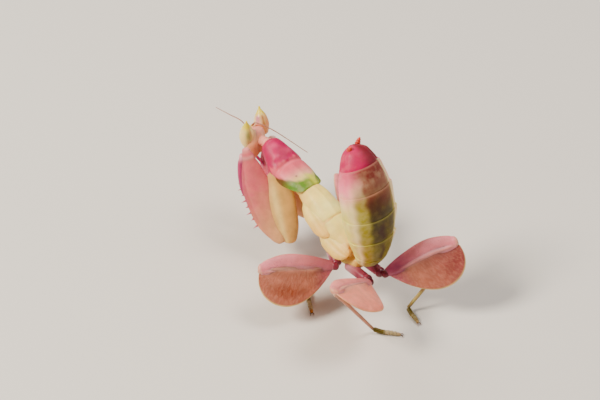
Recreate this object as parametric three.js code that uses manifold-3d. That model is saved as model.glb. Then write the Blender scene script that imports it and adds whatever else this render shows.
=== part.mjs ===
// A life-size museum model of a young female orchid mantis, standing still on four legs.
// Lengths are in millimetres, with +Z up. The mantis faces -Y, and its left side is +X.
import * as THREE from "three";
import { mergeVertices } from "three/addons/utils/BufferGeometryUtils.js";
import Module from "manifold-3d";

const wasm = await Module();
wasm.setup();

// Driving sizes.
const hipHeight = 7.2; // how far the hips are above the floor
const gap = 0.3; // the slit between neighbouring pieces
const thin = 0.28; // half the thickness of a wing pad or a petal's rim
const petalDepth = 5.4; // how far a petal stands out from its thigh
const thighRadius = 0.95;
const thighArch = 0.7; // how far a walking leg's thigh bows away from its petal
const shinRadius = 0.42;
const footRadius = 0.5;
const footLift = 0.34; // height of a foot's middle line, so that its sole is cut flat
const feelerRadius = 0.26;

// Colours and finish of the real surfaces.
const looks = {
  eye: { color: "#d8d29c", roughness: 0.35 },
  face: { color: "#d79a78", roughness: 0.5 },
  shield: { color: "#d5708a", roughness: 0.5 },
  body: { color: "#e6cf9a", roughness: 0.5 },
  belly: { color: "#c2b070", roughness: 0.45 },
  tip: { color: "#d2607c", roughness: 0.45 },
  arm: { color: "#cc8a7c", roughness: 0.5 },
  petal: { color: "#c9735f", roughness: 0.55 },
  shin: { color: "#b9776b", roughness: 0.5 },
  foot: { color: "#6b5e20", roughness: 0.6 },
};

// A place given as millimetres forward, to the left, and above the hips.
function spot(forward, left, up) {
  return new THREE.Vector3(left, -forward, up + hipHeight);
}

// A direction given the same way.
function heading(forward, left, up) {
  return new THREE.Vector3(left, -forward, up).normalize();
}

// The mirror image of a place or direction on the other side of the body.
function mirrored(point) {
  return new THREE.Vector3(-point.x, point.y, point.z);
}

function smoothLine(points) {
  return new THREE.CatmullRomCurve3(points, false, "centripetal");
}

// Half width and half height at a share of the length, between the rows of a size list.
function sizeAt(sizes, share) {
  const next = Math.max(1, sizes.findIndex((row) => row[0] >= share - 1e-9));
  const [before, after] = [sizes[next - 1], sizes[next]];
  const part = (share - before[0]) / (after[0] - before[0]);
  return [before[1] + (after[1] - before[1]) * part, before[2] + (after[2] - before[2]) * part];
}

// A closed oval body along a line. Its rings are wide along "across" and tall at right angles to it.
function ovalBody({ line, sizes, across, sides = 10, rings = 0, from = 0, to = 1, grow = 0 }) {
  const shares = [];
  if (rings > 0) {
    for (let ring = 0; ring <= rings; ring += 1) {
      shares.push(from + ((to - from) * ring) / rings);
    }
  } else {
    sizes.forEach(([share]) => shares.push(share));
  }
  const profile = [new THREE.Vector2(0, shares[0])];
  shares.forEach((share) => profile.push(new THREE.Vector2(1, share)));
  profile.push(new THREE.Vector2(0, shares[shares.length - 1]));
  const shape = new THREE.LatheGeometry(profile, sides);
  const places = shape.attributes.position;
  const corner = new THREE.Vector3();
  for (let index = 0; index < places.count; index += 1) {
    corner.fromBufferAttribute(places, index);
    const share = THREE.MathUtils.clamp(corner.y, 0, 1);
    const [halfWidth, halfHeight] = sizeAt(sizes, share);
    const along = line.getTangentAt(share);
    const side = across.clone().addScaledVector(along, -across.dot(along)).normalize();
    const up = along.clone().cross(side);
    const centre = line.getPointAt(share);
    centre.addScaledVector(side, corner.x * (halfWidth + grow));
    centre.addScaledVector(up, corner.z * (halfHeight + grow));
    places.setXYZ(index, centre.x, centre.y, centre.z);
  }
  return shape;
}

// The same closed shape as a solid that can be cut and joined.
function solidOf(geometry) {
  const bare = new THREE.BufferGeometry();
  bare.setAttribute("position", geometry.attributes.position.clone());
  bare.setIndex(geometry.index);
  const merged = mergeVertices(bare, 1e-4);
  const corners = merged.index.array;
  const kept = [];
  for (let start = 0; start < corners.length; start += 3) {
    const [a, b, c] = [corners[start], corners[start + 1], corners[start + 2]];
    if (a !== b && b !== c && c !== a) {
      kept.push(a, b, c);
    }
  }
  const mesh = new wasm.Mesh({
    numProp: 3,
    vertProperties: new Float32Array(merged.attributes.position.array),
    triVerts: new Uint32Array(kept),
  });
  const solid = new wasm.Manifold(mesh);
  return solid.volume() < 0 ? solidOf(flipped(geometry)) : solid;
}

// The same surface with its faces turned the other way.
function flipped(geometry) {
  const turned = geometry.clone();
  if (!turned.index) {
    turned.setIndex([...Array(turned.attributes.position.count).keys()]);
  }
  const corners = turned.index.array;
  for (let start = 0; start < corners.length; start += 3) {
    [corners[start], corners[start + 1]] = [corners[start + 1], corners[start]];
  }
  return turned;
}

// A drawable geometry from a solid. Where a cut left loose crumbs, only the largest piece is kept.
function geometryOf(solid) {
  const pieces = solid.decompose().sort((first, second) => second.volume() - first.volume());
  const mesh = pieces[0].getMesh();
  const geometry = new THREE.BufferGeometry();
  geometry.setAttribute("position", new THREE.BufferAttribute(new Float32Array(mesh.vertProperties), 3));
  geometry.setIndex(new THREE.BufferAttribute(new Uint32Array(mesh.triVerts), 1));
  geometry.computeVertexNormals();
  return geometry;
}

const sideways = new THREE.Vector3(1, 0, 0);
const sides = [["left", 1], ["right", -1]];
const sidePoint = (point, sign) => (sign > 0 ? point : mirrored(point));

const mantis = new THREE.Group();
const swollen = new Map(); // each piece's solid with the gap added all round

// Adds one named piece, cut back wherever a neighbour that is already there is in its way.
function addPiece(name, look, solid, neighbours = []) {
  let rest = solid;
  neighbours.forEach((neighbour) => {
    rest = rest.subtract(swollen.get(neighbour));
  });
  const material = new THREE.MeshStandardMaterial({ ...looks[look], metalness: 0 });
  const mesh = new THREE.Mesh(geometryOf(rest), material);
  mesh.name = name;
  mantis.add(mesh);
  return rest;
}

// Adds an oval body, and keeps its swollen form for the pieces that come after it.
function addOval(name, look, shape, neighbours = []) {
  swollen.set(name, solidOf(ovalBody({ ...shape, grow: gap })));
  return addPiece(name, look, solidOf(ovalBody(shape)), neighbours);
}

// Trunk ----------------------------------------------------------------------------------------

const trunkLine = smoothLine([
  spot(20.6, 0, 9.2), spot(17.2, 0, 7.4), spot(13.6, 0, 6.5), spot(11.0, 0, 6.0), spot(9.2, 0, 5.3),
  spot(6.8, 0, 4.0), spot(4.2, 0, 2.9), spot(1.1, 0, 2.2),
]);
const trunkSizes = [
  [0, 0.85, 0.9], [0.06, 1.15, 1.15], [0.2, 1.25, 1.25], [0.36, 1.4, 1.35], [0.47, 1.9, 1.7],
  [0.58, 2.25, 1.95], [0.74, 2.4, 2.0], [0.88, 2.1, 1.75], [1, 1.5, 1.3],
];
const trunkShape = { line: trunkLine, sizes: trunkSizes, across: sideways, sides: 12 };
const trunkParts = [["prothorax", 0, 0.385, 6], ["mesothorax", 0.4, 0.69, 5], ["metathorax", 0.705, 1, 5]];
const trunk = trunkParts.map(([name]) => name);
trunkParts.forEach(([name, from, to, rings]) => {
  addOval(name, "body", { ...trunkShape, rings, from, to });
});

// The pronotum is a saddle over the prothorax, widest over the fore hips.
const shieldLine = smoothLine([
  spot(21.5, 0, 9.9), spot(17.8, 0, 7.9), spot(14.2, 0, 6.8), spot(11.5, 0, 6.1),
]);
const shieldSizes = [
  [0, 0.9, 0.9], [0.06, 1.45, 1.5], [0.2, 1.95, 1.85], [0.42, 2.6, 1.9], [0.52, 2.4, 1.75],
  [0.62, 2.2, 1.8], [0.8, 2.05, 1.85], [1, 1.85, 1.8],
];
const shieldRim = [spot(17.0, 0, 6.65), spot(12.0, 0, 7.35)]; // the rim rises towards the rear
const shieldShape = { line: shieldLine, sizes: shieldSizes, across: sideways, sides: 16 };
const shieldUp = shieldRim[0].clone().sub(shieldRim[1]).cross(sideways).normalize();
const shieldLevel = shieldUp.dot(shieldRim[0]);
const aboveRim = (shape, level) => solidOf(ovalBody(shape)).trimByPlane(shieldUp.toArray(), level);
swollen.set("pronotum", aboveRim({ ...shieldShape, grow: gap }, shieldLevel - gap));
addPiece("pronotum", "shield", aboveRim(shieldShape, shieldLevel), trunk);

// Wing pads lie against the sides of the thorax.
const padSizes = [
  [0, 0.5, thin], [0.12, 1.15, thin], [0.4, 1.5, thin], [0.7, 1.4, thin], [0.9, 0.9, thin], [1, 0.3, thin],
];
const padPoints = {
  forewing_pad: [spot(11.0, 2.5, 5.6), spot(8.4, 3.0, 4.8), spot(5.2, 3.0, 3.9)],
  hindwing_pad: [spot(6.6, 2.85, 3.0), spot(4.4, 2.9, 2.9), spot(1.8, 2.6, 2.7)],
};
sides.forEach(([side, sign]) => {
  const across = sidePoint(heading(-0.35, -0.1, 1), sign);
  Object.entries(padPoints).forEach(([pad, points]) => {
    const line = smoothLine(points.map((point) => sidePoint(point, sign)));
    const blocks = pad === "hindwing_pad" ? [...trunk, `forewing_pad_${side}`] : trunk;
    addOval(`${pad}_${side}`, "body", { line, sizes: padSizes, across }, blocks);
  });
});
const pads = sides.flatMap(([side]) => Object.keys(padPoints).map((pad) => `${pad}_${side}`));

// Abdomen --------------------------------------------------------------------------------------

const bellyLine = smoothLine([
  spot(-0.5, 0, 1.7), spot(-1.1, 0, 4.6), spot(-0.6, 0, 9.0), spot(0.1, 0, 13.0),
  spot(1.5, 0, 17.0), spot(3.2, 0, 20.3),
]);
const bellySizes = [
  [0, 1.5, 1.1], [0.04, 2.2, 1.6], [0.14, 3.0, 2.3], [0.3, 3.95, 2.9], [0.48, 4.3, 3.2],
  [0.66, 4.0, 3.05], [0.82, 3.2, 2.6], [0.93, 2.2, 1.9], [1, 1.15, 1.0],
];
const bellyEdges = [0, 0.11, 0.27, 0.47, 0.66, 0.84, 1]; // where one segment ends and the next begins
const bellyShape = { line: bellyLine, sizes: bellySizes, across: sideways, sides: 14, rings: 3 };
const slit = gap / bellyLine.getLength() / 2;
const belly = [];
for (let segment = 1; segment < bellyEdges.length; segment += 1) {
  const from = bellyEdges[segment - 1] + (segment > 1 ? slit : 0);
  const to = bellyEdges[segment] - (segment < 6 ? slit : 0);
  belly.push(`abdomen_${segment}`);
  addOval(belly.at(-1), segment === 6 ? "tip" : "belly", { ...bellyShape, from, to }, [...trunk, ...pads]);
}

sides.forEach(([side, sign]) => {
  const points = [spot(2.8, 0.8, 19.8), spot(2.7, 1.05, 20.9), spot(3.0, 1.0, 21.6)];
  const line = smoothLine(points.map((point) => sidePoint(point, sign)));
  const sizes = [[0, 0.3, 0.3], [0.5, 0.32, 0.32], [1, 0.2, 0.2]];
  addOval(`cercus_${side}`, "tip", { line, sizes, across: sideways, sides: 7 }, ["abdomen_6"]);
});

// Head -----------------------------------------------------------------------------------------

// The head is turned to the left and tipped. Its pieces are wide along this direction.
const headRight = heading(0.5, -0.84, -0.2);
const headUp = heading(0.2, -0.1, 0.97);
const skullLine = smoothLine([spot(23.4, 0.6, 6.7), spot(23.8, 0.25, 8.6), spot(24.3, -0.1, 10.5)]);
const skullSizes = [[0, 0.6, 0.6], [0.2, 1.15, 1.0], [0.6, 1.8, 1.25], [0.9, 1.6, 1.0], [1, 0.9, 0.6]];
addOval("head", "face", { line: skullLine, sizes: skullSizes, across: headRight, sides: 12 });

const eyeSizes = [[0, 0.4, 0.4], [0.13, 0.85, 0.85], [0.38, 1.15, 1.1], [0.65, 0.85, 0.85], [1, 0.2, 0.2]];
const eyePoints = {
  left: [spot(24.0, 1.8, 7.7), spot(24.0, 2.0, 9.9), spot(23.6, 2.25, 13.1)],
  right: [spot(24.8, -1.7, 8.2), spot(25.4, -2.1, 9.9), spot(26.3, -2.35, 12.1)],
};
Object.entries(eyePoints).forEach(([side, points]) => {
  const shape = { line: smoothLine(points), sizes: eyeSizes, across: headRight, sides: 12 };
  addOval(`eye_${side}`, "eye", shape, ["head"]);
});

const mouthLine = smoothLine([spot(23.6, 0.7, 6.8), spot(24.0, 0.9, 5.4)]);
const mouthSizes = [[0, 0.6, 0.5], [0.5, 0.5, 0.45], [1, 0.25, 0.25]];
addOval("mouthparts", "face", { line: mouthLine, sizes: mouthSizes, across: headRight }, ["head"]);

const neckLine = smoothLine([spot(20.6, 0, 9.2), spot(22.0, 0.1, 9.4), spot(23.4, 0.3, 9.2)]);
const neckSizes = [[0, 0.75, 0.75], [0.5, 0.7, 0.7], [1, 0.75, 0.75]];
addOval("neck", "body", { line: neckLine, sizes: neckSizes, across: sideways }, ["prothorax", "head", "pronotum"]);

const feelerPoints = {
  left: [spot(25.3, 0.5, 9.9), spot(26.2, 1.0, 11.1), spot(28.6, 1.2, 10.9), spot(32.4, 0.8, 9.8)],
  right: [spot(25.3, -0.4, 10.4), spot(24.6, -0.2, 11.2), spot(22.9, -1.6, 10.4), spot(18.6, -5.0, 6.9)],
};
const feelerSizes = [[0, feelerRadius, feelerRadius], [1, feelerRadius, feelerRadius]];
Object.entries(feelerPoints).forEach(([side, points]) => {
  const shape = { line: smoothLine(points), sizes: feelerSizes, across: headUp, sides: 6, rings: 10 };
  addOval(`antenna_${side}`, "shin", shape, ["head", "pronotum", "eye_left", "eye_right"]);
});

// Forelegs -------------------------------------------------------------------------------------

const armPoints = {
  left: {
    shoulder: spot(15.9, 2.35, 5.7), elbow: spot(13.3, 2.6, -2.7),
    thigh: [spot(13.9, 3.5, -2.6), spot(16.9, 3.8, 0.1), spot(19.0, 4.15, 4.3), spot(20.9, 4.4, 10.1)],
    across: heading(0.65, 0.5, -0.57),
  },
  right: {
    shoulder: spot(15.9, -2.35, 5.7), elbow: spot(15.0, -2.6, -2.5),
    thigh: [spot(15.6, -3.2, -2.4), spot(18.9, -2.8, 0.2), spot(21.6, -2.6, 3.6), spot(23.8, -2.9, 7.6)],
    across: heading(0.7, 0.25, -0.6),
  },
};
const coxaSizes = [
  [0, 0.8, 0.5], [0.08, 1.5, 0.85], [0.35, 2.0, 0.95], [0.7, 1.7, 0.85], [0.93, 1.1, 0.65], [1, 0.6, 0.45],
];
const armSizes = [
  [0, 0.6, 0.4], [0.06, 1.2, 0.65], [0.3, 2.2, 0.85], [0.55, 2.3, 0.9], [0.8, 1.6, 0.8],
  [0.95, 0.95, 0.6], [1, 0.5, 0.4],
];
const hookedShinSizes = [[0, 0.4, 0.4], [0.15, 0.55, 0.5], [0.6, 0.5, 0.45], [0.85, 0.36, 0.32], [1, 0.12, 0.12]];
const spineSizes = [[0, 0.26, 0.26], [1, 0.06, 0.06]];
const spineShares = [0.36, 0.44, 0.52, 0.6];
sides.forEach(([side, sign]) => {
  const { shoulder, elbow, thigh, across } = armPoints[side];
  const coxaAcross = sidePoint(heading(0.75, 0.5, -0.3), sign);
  const coxa = { line: smoothLine([shoulder, elbow]), sizes: coxaSizes, across: coxaAcross };
  addOval(`fore_coxa_${side}`, "arm", coxa, [...trunk, "pronotum"]);

  const line = smoothLine(thigh);
  const arm = { line, sizes: armSizes, across };
  const along = line.getTangentAt(0.5);
  const edge = across.clone().addScaledVector(along, -across.dot(along)).normalize();
  const face = along.clone().cross(edge);
  let body = solidOf(ovalBody(arm));
  spineShares.forEach((share) => {
    [-1, 1].forEach((row) => {
      const root = line.getPointAt(share).addScaledVector(edge, sizeAt(armSizes, share)[0] * 0.88);
      root.addScaledVector(face, row * 0.35);
      const end = root.clone().addScaledVector(edge, 0.7).addScaledVector(face, row * 0.4);
      const spine = { line: smoothLine([root, end]), sizes: spineSizes, across: along, sides: 5 };
      body = body.add(solidOf(ovalBody(spine)));
    });
  });
  const femur = `fore_femur_${side}`;
  addPiece(femur, "arm", body, [`fore_coxa_${side}`]);
  swollen.set(femur, solidOf(ovalBody({ ...arm, grow: gap })).add(body));

  // The shin is folded against the spined edge, between its two rows, and ends in a hook.
  const beside = (share, out) => line.getPointAt(share).addScaledVector(edge, out);
  const shinLine = smoothLine([
    beside(0.985, 0.8), beside(0.86, 1.75), beside(0.68, 2.5), beside(0.54, 2.85), beside(0.48, 2.6),
  ]);
  const shin = { line: shinLine, sizes: hookedShinSizes, across: edge, sides: 8 };
  addOval(`fore_tibia_${side}`, "tip", shin, [femur]);

  // The foot is folded back along the inner face of the thigh.
  const within = (share, out, inward) => beside(share, out).addScaledVector(sideways, -sign * inward);
  const footLine = smoothLine([within(0.56, 2.6, 1.3), within(0.68, 1.2, 1.75), within(0.92, 0.2, 1.7)]);
  const footSizes = [[0, 0.26, 0.26], [1, 0.26, 0.26]];
  const foot = { line: footLine, sizes: footSizes, across: edge, sides: 6, rings: 5 };
  addOval(`fore_tarsus_${side}`, "arm", foot, [femur, `fore_tibia_${side}`, "prothorax", "pronotum"]);
});

// Walking legs ---------------------------------------------------------------------------------

// Each leg has a root, hip and knee, then an ankle and a toe on the floor (forward, left), and the
// direction in which its petal stands out.
const legs = {
  mid_left: {
    root: spot(5.9, 1.35, 0.1), hip: spot(3.3, 2.3, -0.5), knee: spot(8.4, 12.6, 1.0),
    ankle: [6.75, 5.0], toe: [3.4, 6.9], petal: heading(-0.49, 0.41, -0.77),
  },
  mid_right: {
    root: spot(5.9, -1.35, 0.1), hip: spot(3.3, -2.3, -0.5), knee: spot(13.9, -6.7, 4.9),
    ankle: [14.4, -8.0], toe: [17.2, -9.8], petal: heading(-0.49, -0.41, -0.77),
  },
  hind_left: {
    root: spot(2.6, 1.15, -0.35), hip: spot(-2.5, 1.2, -0.2), knee: spot(-5.9, 10.9, 5.8),
    ankle: [-5.1, 2.8], toe: [-8.1, 0.2], petal: heading(-0.966, -0.195, -0.189),
  },
  hind_right: {
    root: spot(2.6, -1.15, -0.35), hip: spot(-2.5, -1.2, -0.2), knee: spot(-8.2, -10.0, 4.9),
    ankle: [-5.0, -3.9], toe: [-7.9, -3.3], petal: heading(-0.71, 0.06, -0.7),
  },
};
const hipSizes = [[0, 0.5, 0.5], [0.12, 0.78, 0.75], [0.5, 0.8, 0.75], [0.9, 0.72, 0.7], [1, 0.45, 0.45]];
const thighSizes = [
  [0, 0.4, 0.4], [0.08, 0.62, 0.6], [0.5, thighRadius, 0.75], [0.85, thighRadius, 0.75],
  [0.96, 0.65, 0.6], [1, 0.35, 0.35],
];
const shinSizes = [
  [0, 0.4, 0.4], [0.08, 0.6, 0.5], [0.4, 0.62, shinRadius], [0.9, shinRadius, shinRadius], [1, 0.3, 0.3],
];
const footSizes = [[0, 0.3, 0.3], [0.08, 0.5, footRadius], [0.8, 0.45, 0.45], [1, 0.3, 0.35]];
const onFloor = ([forward, left], height) => spot(forward, left, height - hipHeight);
swollen.set("floor", solidOf(new THREE.BoxGeometry(90, 90, 10).translate(0, 0, -5)));

// The petal's outline: a share of the thigh along, and a share of the full depth out.
const petalOutline = new THREE.Shape();
petalOutline.moveTo(0.03, 0);
petalOutline.bezierCurveTo(0.14, 0.3, 0.36, 0.99, 0.66, 0.985);
petalOutline.bezierCurveTo(0.88, 0.985, 1.04, 0.62, 1.0, 0.12);
petalOutline.lineTo(0.96, 0);
petalOutline.closePath();

function petalSolid(hip, knee, out, grow = 0) {
  const along = knee.clone().sub(hip);
  const length = along.length();
  along.normalize();
  const down = out.clone().addScaledVector(along, -out.dot(along)).normalize();
  const through = along.clone().cross(down);
  const plate = new THREE.ExtrudeGeometry(petalOutline, { depth: 1, bevelEnabled: false, curveSegments: 7 });
  plate.translate(0, 0, -0.5);
  plate.scale(length, petalDepth, 2 * (thin + grow));
  plate.applyMatrix4(new THREE.Matrix4().makeBasis(along, down, through).setPosition(hip));
  return solidOf(plate);
}

Object.entries(legs).forEach(([leg, { root, hip, knee, ankle, toe, petal }]) => {
  const coxa = { line: smoothLine([root, hip]), sizes: hipSizes, across: sideways, sides: 8 };
  addOval(`${leg}_coxa`, "shin", coxa, [...trunk, ...belly, ...pads]);

  const start = hip.clone().lerp(knee, 0.03);
  const crest = start.clone().lerp(knee, 0.6).addScaledVector(petal, -thighArch);
  const thigh = { line: smoothLine([start, crest, knee]), sizes: thighSizes, across: petal, sides: 8 };
  const femur = `${leg}_femur`;
  const blocks = [`${leg}_coxa`, ...trunk, ...belly, ...pads];
  addPiece(femur, "petal", solidOf(ovalBody(thigh)).add(petalSolid(start, knee, petal)), blocks);
  swollen.set(femur, solidOf(ovalBody({ ...thigh, grow: gap })).add(petalSolid(start, knee, petal, gap)));

  const shinLine = smoothLine([knee, onFloor(ankle, 0.8)]);
  const shin = { line: shinLine, sizes: shinSizes, across: petal, sides: 8 };
  addOval(`${leg}_tibia`, "shin", shin, [femur]);

  const footLine = smoothLine([onFloor(ankle, footLift), onFloor(toe, footLift)]);
  const foot = { line: footLine, sizes: footSizes, across: sideways, sides: 8 };
  addOval(`${leg}_tarsus`, "foot", foot, [`${leg}_tibia`, "floor"]);
});

// The origin is on the floor, under the middle of the whole model.
const room = new THREE.Box3().setFromObject(mantis);
const middle = room.getCenter(new THREE.Vector3());
mantis.position.set(-middle.x, -middle.y, -room.min.z);

export default mantis;
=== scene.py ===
import math

import bmesh
import bpy
import numpy as np
from mathutils import Matrix, Vector


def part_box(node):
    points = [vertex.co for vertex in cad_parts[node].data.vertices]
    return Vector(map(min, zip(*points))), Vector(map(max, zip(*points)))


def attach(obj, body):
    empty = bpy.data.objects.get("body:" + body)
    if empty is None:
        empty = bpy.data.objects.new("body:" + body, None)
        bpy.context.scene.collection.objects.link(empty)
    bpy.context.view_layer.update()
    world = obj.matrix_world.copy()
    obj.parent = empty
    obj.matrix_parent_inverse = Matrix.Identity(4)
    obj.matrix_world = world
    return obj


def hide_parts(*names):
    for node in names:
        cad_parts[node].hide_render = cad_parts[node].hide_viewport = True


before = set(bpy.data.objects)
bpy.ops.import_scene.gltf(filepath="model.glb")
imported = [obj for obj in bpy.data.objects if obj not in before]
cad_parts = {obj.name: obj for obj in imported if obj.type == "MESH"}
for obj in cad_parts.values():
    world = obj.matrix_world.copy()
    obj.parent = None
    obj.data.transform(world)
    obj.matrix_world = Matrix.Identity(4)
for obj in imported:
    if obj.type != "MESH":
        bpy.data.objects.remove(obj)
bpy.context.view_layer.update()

mm = 0.001
print("frame loaded:", len(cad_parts), "nodes")

# Places are given as millimetres forward, to the left, and above the hips, as in the solids.
# The mantis faces -Y and its left side is +X; the hips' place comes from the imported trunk.
stance = {
    "hipHeight": 7.2,       # the hips' height above the floor
    "rearBehindHips": -1.1,  # how far behind the hips the metathorax ends, and below zero in front
}
thoraxLow, thoraxHigh = (np.array(corner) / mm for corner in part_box("metathorax"))
hips = np.array([
    (thoraxLow[0] + thoraxHigh[0]) / 2, thoraxHigh[1] - stance["rearBehindHips"], stance["hipHeight"]])
fullTurn = 2 * math.pi
backAngle = 1.5 * math.pi   # where the middle of the back is, round the line of the body


def spot(forward, left, up):
    return np.array([left, -forward, up], float)


def mirrored(point):
    return np.asarray(point) * (-1, 1, 1)


def unit(vector):
    vector = np.asarray(vector, float)
    return vector / np.linalg.norm(vector, axis=-1, keepdims=True)


def flat(vector, normal):
    # the part of a vector at right angles to a normal, made one long
    normal = unit(normal)
    return unit(vector - np.sum(vector * normal, axis=-1, keepdims=True) * normal)


def smoothStep(low, high, value):
    share = np.clip((value - low) / (high - low), 0, 1)
    return share * share * (3 - 2 * share)


def bump(centre, width, value):
    return np.exp(-((value - centre) / width) ** 2)


# Shapes


def lineThrough(points, count=240):
    # a smooth line through the points, sampled evenly by length
    points = np.asarray(points, float)
    if len(points) == 2:
        return points[0] + np.linspace(0, 1, count)[:, None] * (points[1] - points[0])
    ends = np.vstack([2 * points[0] - points[1], points, 2 * points[-1] - points[-2]])
    share = np.linspace(0, 1, 30, endpoint=False)[:, None]
    pieces = []
    for index in range(len(points) - 1):
        p0, p1, p2, p3 = ends[index:index + 4]
        d0, d1, d2 = (math.sqrt(np.linalg.norm(b - a)) for a, b in ((p0, p1), (p1, p2), (p2, p3)))
        t1 = ((p1 - p0) / d0 - (p2 - p0) / (d0 + d1) + (p2 - p1) / d1) * d1
        t2 = ((p2 - p1) / d1 - (p3 - p1) / (d1 + d2) + (p3 - p2) / d2) * d1
        c2 = -3 * p1 + 3 * p2 - 2 * t1 - t2
        c3 = 2 * p1 - 2 * p2 + t1 + t2
        pieces.append(p1 + t1 * share + c2 * share ** 2 + c3 * share ** 3)
    path = np.vstack(pieces + [points[-1:]])
    steps = np.concatenate([[0], np.cumsum(np.linalg.norm(np.diff(path, axis=0), axis=1))])
    wanted = np.linspace(0, steps[-1], count)
    return np.stack([np.interp(wanted, steps, path[:, axis]) for axis in range(3)], 1)


def along(path, shares):
    # places and directions at shares of a sampled line
    steps = np.linspace(0, 1, len(path))
    places = np.stack([np.interp(shares, steps, path[:, axis]) for axis in range(3)], 1)
    slopes = np.gradient(path, axis=0)
    heads = np.stack([np.interp(shares, steps, slopes[:, axis]) for axis in range(3)], 1)
    return places, unit(heads)


def smoothSizes(sizes, shares):
    # a smooth curve through the rows of a size list that never overshoots them
    rows = np.asarray(sizes, float)
    x, columns = rows[:, 0], rows[:, 1:]
    slopes = np.diff(columns, axis=0) / np.diff(x)[:, None]
    knots = np.zeros_like(columns)
    before, after = slopes[:-1], slopes[1:]
    same = before * after > 0
    knots[1:-1] = np.where(same, 2 * before * after / np.where(same, before + after, 1), 0)
    knots[0], knots[-1] = slopes[0], slopes[-1]
    index = np.clip(np.searchsorted(x, shares, side="right") - 1, 0, len(x) - 2)
    width = (x[index + 1] - x[index])[:, None]
    u = (np.asarray(shares) - x[index])[:, None] / width
    low, high = columns[index], columns[index + 1]
    curve = low * (2 * u ** 3 - 3 * u ** 2 + 1) + high * (3 * u ** 2 - 2 * u ** 3)
    return curve + width * (knots[index] * (u ** 3 - 2 * u ** 2 + u) + knots[index + 1] * (u ** 3 - u ** 2))


def tubeFaces(rings, sides):
    # the faces of a tube of rings, shut by two points that are stored after the rings
    faces = []
    for ring in range(rings - 1):
        for side in range(sides):
            after = (side + 1) % sides
            a, b = ring * sides, (ring + 1) * sides
            faces.append((a + side, a + after, b + after, b + side))
    first, last = rings * sides, rings * sides + 1
    for side in range(sides):
        after = (side + 1) % sides
        faces.append((first, after, side))
        faces.append((last, (rings - 1) * sides + side, (rings - 1) * sides + after))
    return faces


def sweep(points, sizes, across, rings=60, sides=40, rounded=(0.6, 0.6), start=0.0, end=1.0, relief=None):
    # A closed body along a line: half width along "across", half height at right angles to it.
    # relief(share, angle) lifts the surface in mm, and "rounded" says how long the two domed ends are.
    path = lineThrough(points)
    length = np.linalg.norm(np.diff(path, axis=0), axis=1).sum()
    shares = np.linspace(start, end, rings)
    ends = smoothSizes(sizes, np.array([start, end]))
    longest = 0.45 * (end - start)
    domes = [min(share * size.min() / length, longest) for share, size in zip(rounded, ends)]
    turn = np.linspace(0, math.pi / 2, 9)
    shares = np.concatenate([start + domes[0] * (1 - np.cos(turn[1:])), shares[shares > start + domes[0]]])
    shares = np.concatenate([shares[shares < end - domes[1]], end - domes[1] * (1 - np.cos(turn[:0:-1]))])
    shares = np.unique(np.round(shares, 7))
    rings = len(shares)
    dome = np.ones(rings)
    for gap, depth in ((shares - start, domes[0]), (end - shares, domes[1])):
        dome *= np.sqrt(np.clip(1 - np.clip(1 - gap / depth, 0, 1) ** 2, 0.0, 1))
    places, heads = along(path, shares)
    half = smoothSizes(sizes, shares) * dome[:, None]
    side = flat(np.broadcast_to(across, places.shape), heads)
    up = np.cross(heads, side)
    angles = np.linspace(0, fullTurn, sides, endpoint=False)
    shareGrid, angleGrid = np.meshgrid(shares, angles, indexing="ij")
    wide = half[:, :1] * np.cos(angles)
    tall = half[:, 1:2] * np.sin(angles)
    if relief is not None:
        lift = relief(shareGrid, angleGrid) * dome[:, None]
        wide, tall = wide + lift * np.cos(angles), tall + lift * np.sin(angles)
    body = places[:, None] + wide[..., None] * side[:, None] + tall[..., None] * up[:, None]
    tips = along(path, np.array([start, end]))[0]
    marks = {
        "along": np.append(shareGrid.ravel(), [start, end]),
        "turn": np.append(angleGrid.ravel() / fullTurn, [0, 0]),
    }
    vertices = np.vstack([body.reshape(-1, 3), tips])
    return {"vertices": vertices, "faces": tubeFaces(rings, sides), "marks": marks}


def mark(part, name, values):
    part["marks"][name] = np.broadcast_to(values, len(part["vertices"])).astype(float)


def surface(part):
    # how far along its line each point of a swept body is, and its angle round the line
    return part["marks"]["along"], part["marks"]["turn"] * fullTurn


def fixNormals(made):
    shell = bmesh.new()
    shell.from_mesh(made.data)
    bmesh.ops.recalc_face_normals(shell, faces=shell.faces)
    shell.to_mesh(made.data)
    shell.free()


def piece(name, parts, material, nodes=()):
    vertices = np.vstack([part["vertices"] for part in parts])
    offsets = np.cumsum([0] + [len(part["vertices"]) for part in parts])
    faces = [tuple(index + offset for index in face)
             for part, offset in zip(parts, offsets) for face in part["faces"]]
    mesh = bpy.data.meshes.new(name)
    mesh.from_pydata(((vertices + hips) * mm).tolist(), [], faces)
    for key in sorted({key for part in parts for key in part["marks"]}):
        values = np.concatenate([part["marks"].get(key, np.zeros(len(part["vertices"]))) for part in parts])
        mesh.attributes.new(key, "FLOAT", "POINT").data.foreach_set("value", values.astype(np.float32))
    mesh.validate()
    mesh.update()
    made = bpy.data.objects.new(name, mesh)
    bpy.context.scene.collection.objects.link(made)
    fixNormals(made)
    for polygon in mesh.polygons:
        polygon.use_smooth = True
    mesh.materials.append(material)
    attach(made, "root")
    if nodes:
        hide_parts(*nodes)


# Materials


def toLinear(hexColour):
    channels = [int(hexColour[index:index + 2], 16) / 255 for index in (1, 3, 5)]
    return [c / 12.92 if c <= 0.04045 else ((c + 0.055) / 1.055) ** 2.4 for c in channels] + [1.0]


def addNode(tree, kind, settings=None, links=None):
    # adds a node; links maps an input to a node (its first output), a (node, output) pair or a value
    node = tree.nodes.new(kind)
    for key, value in (settings or {}).items():
        setattr(node, key, value)
    for key, source in (links or {}).items():
        socket = node.inputs[key]
        if isinstance(source, bpy.types.Node):
            tree.links.new(source.outputs[0], socket)
        elif isinstance(source, tuple) and isinstance(source[0], bpy.types.Node):
            tree.links.new(source[0].outputs[source[1]], socket)
        else:
            socket.default_value = source
    return node


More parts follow.
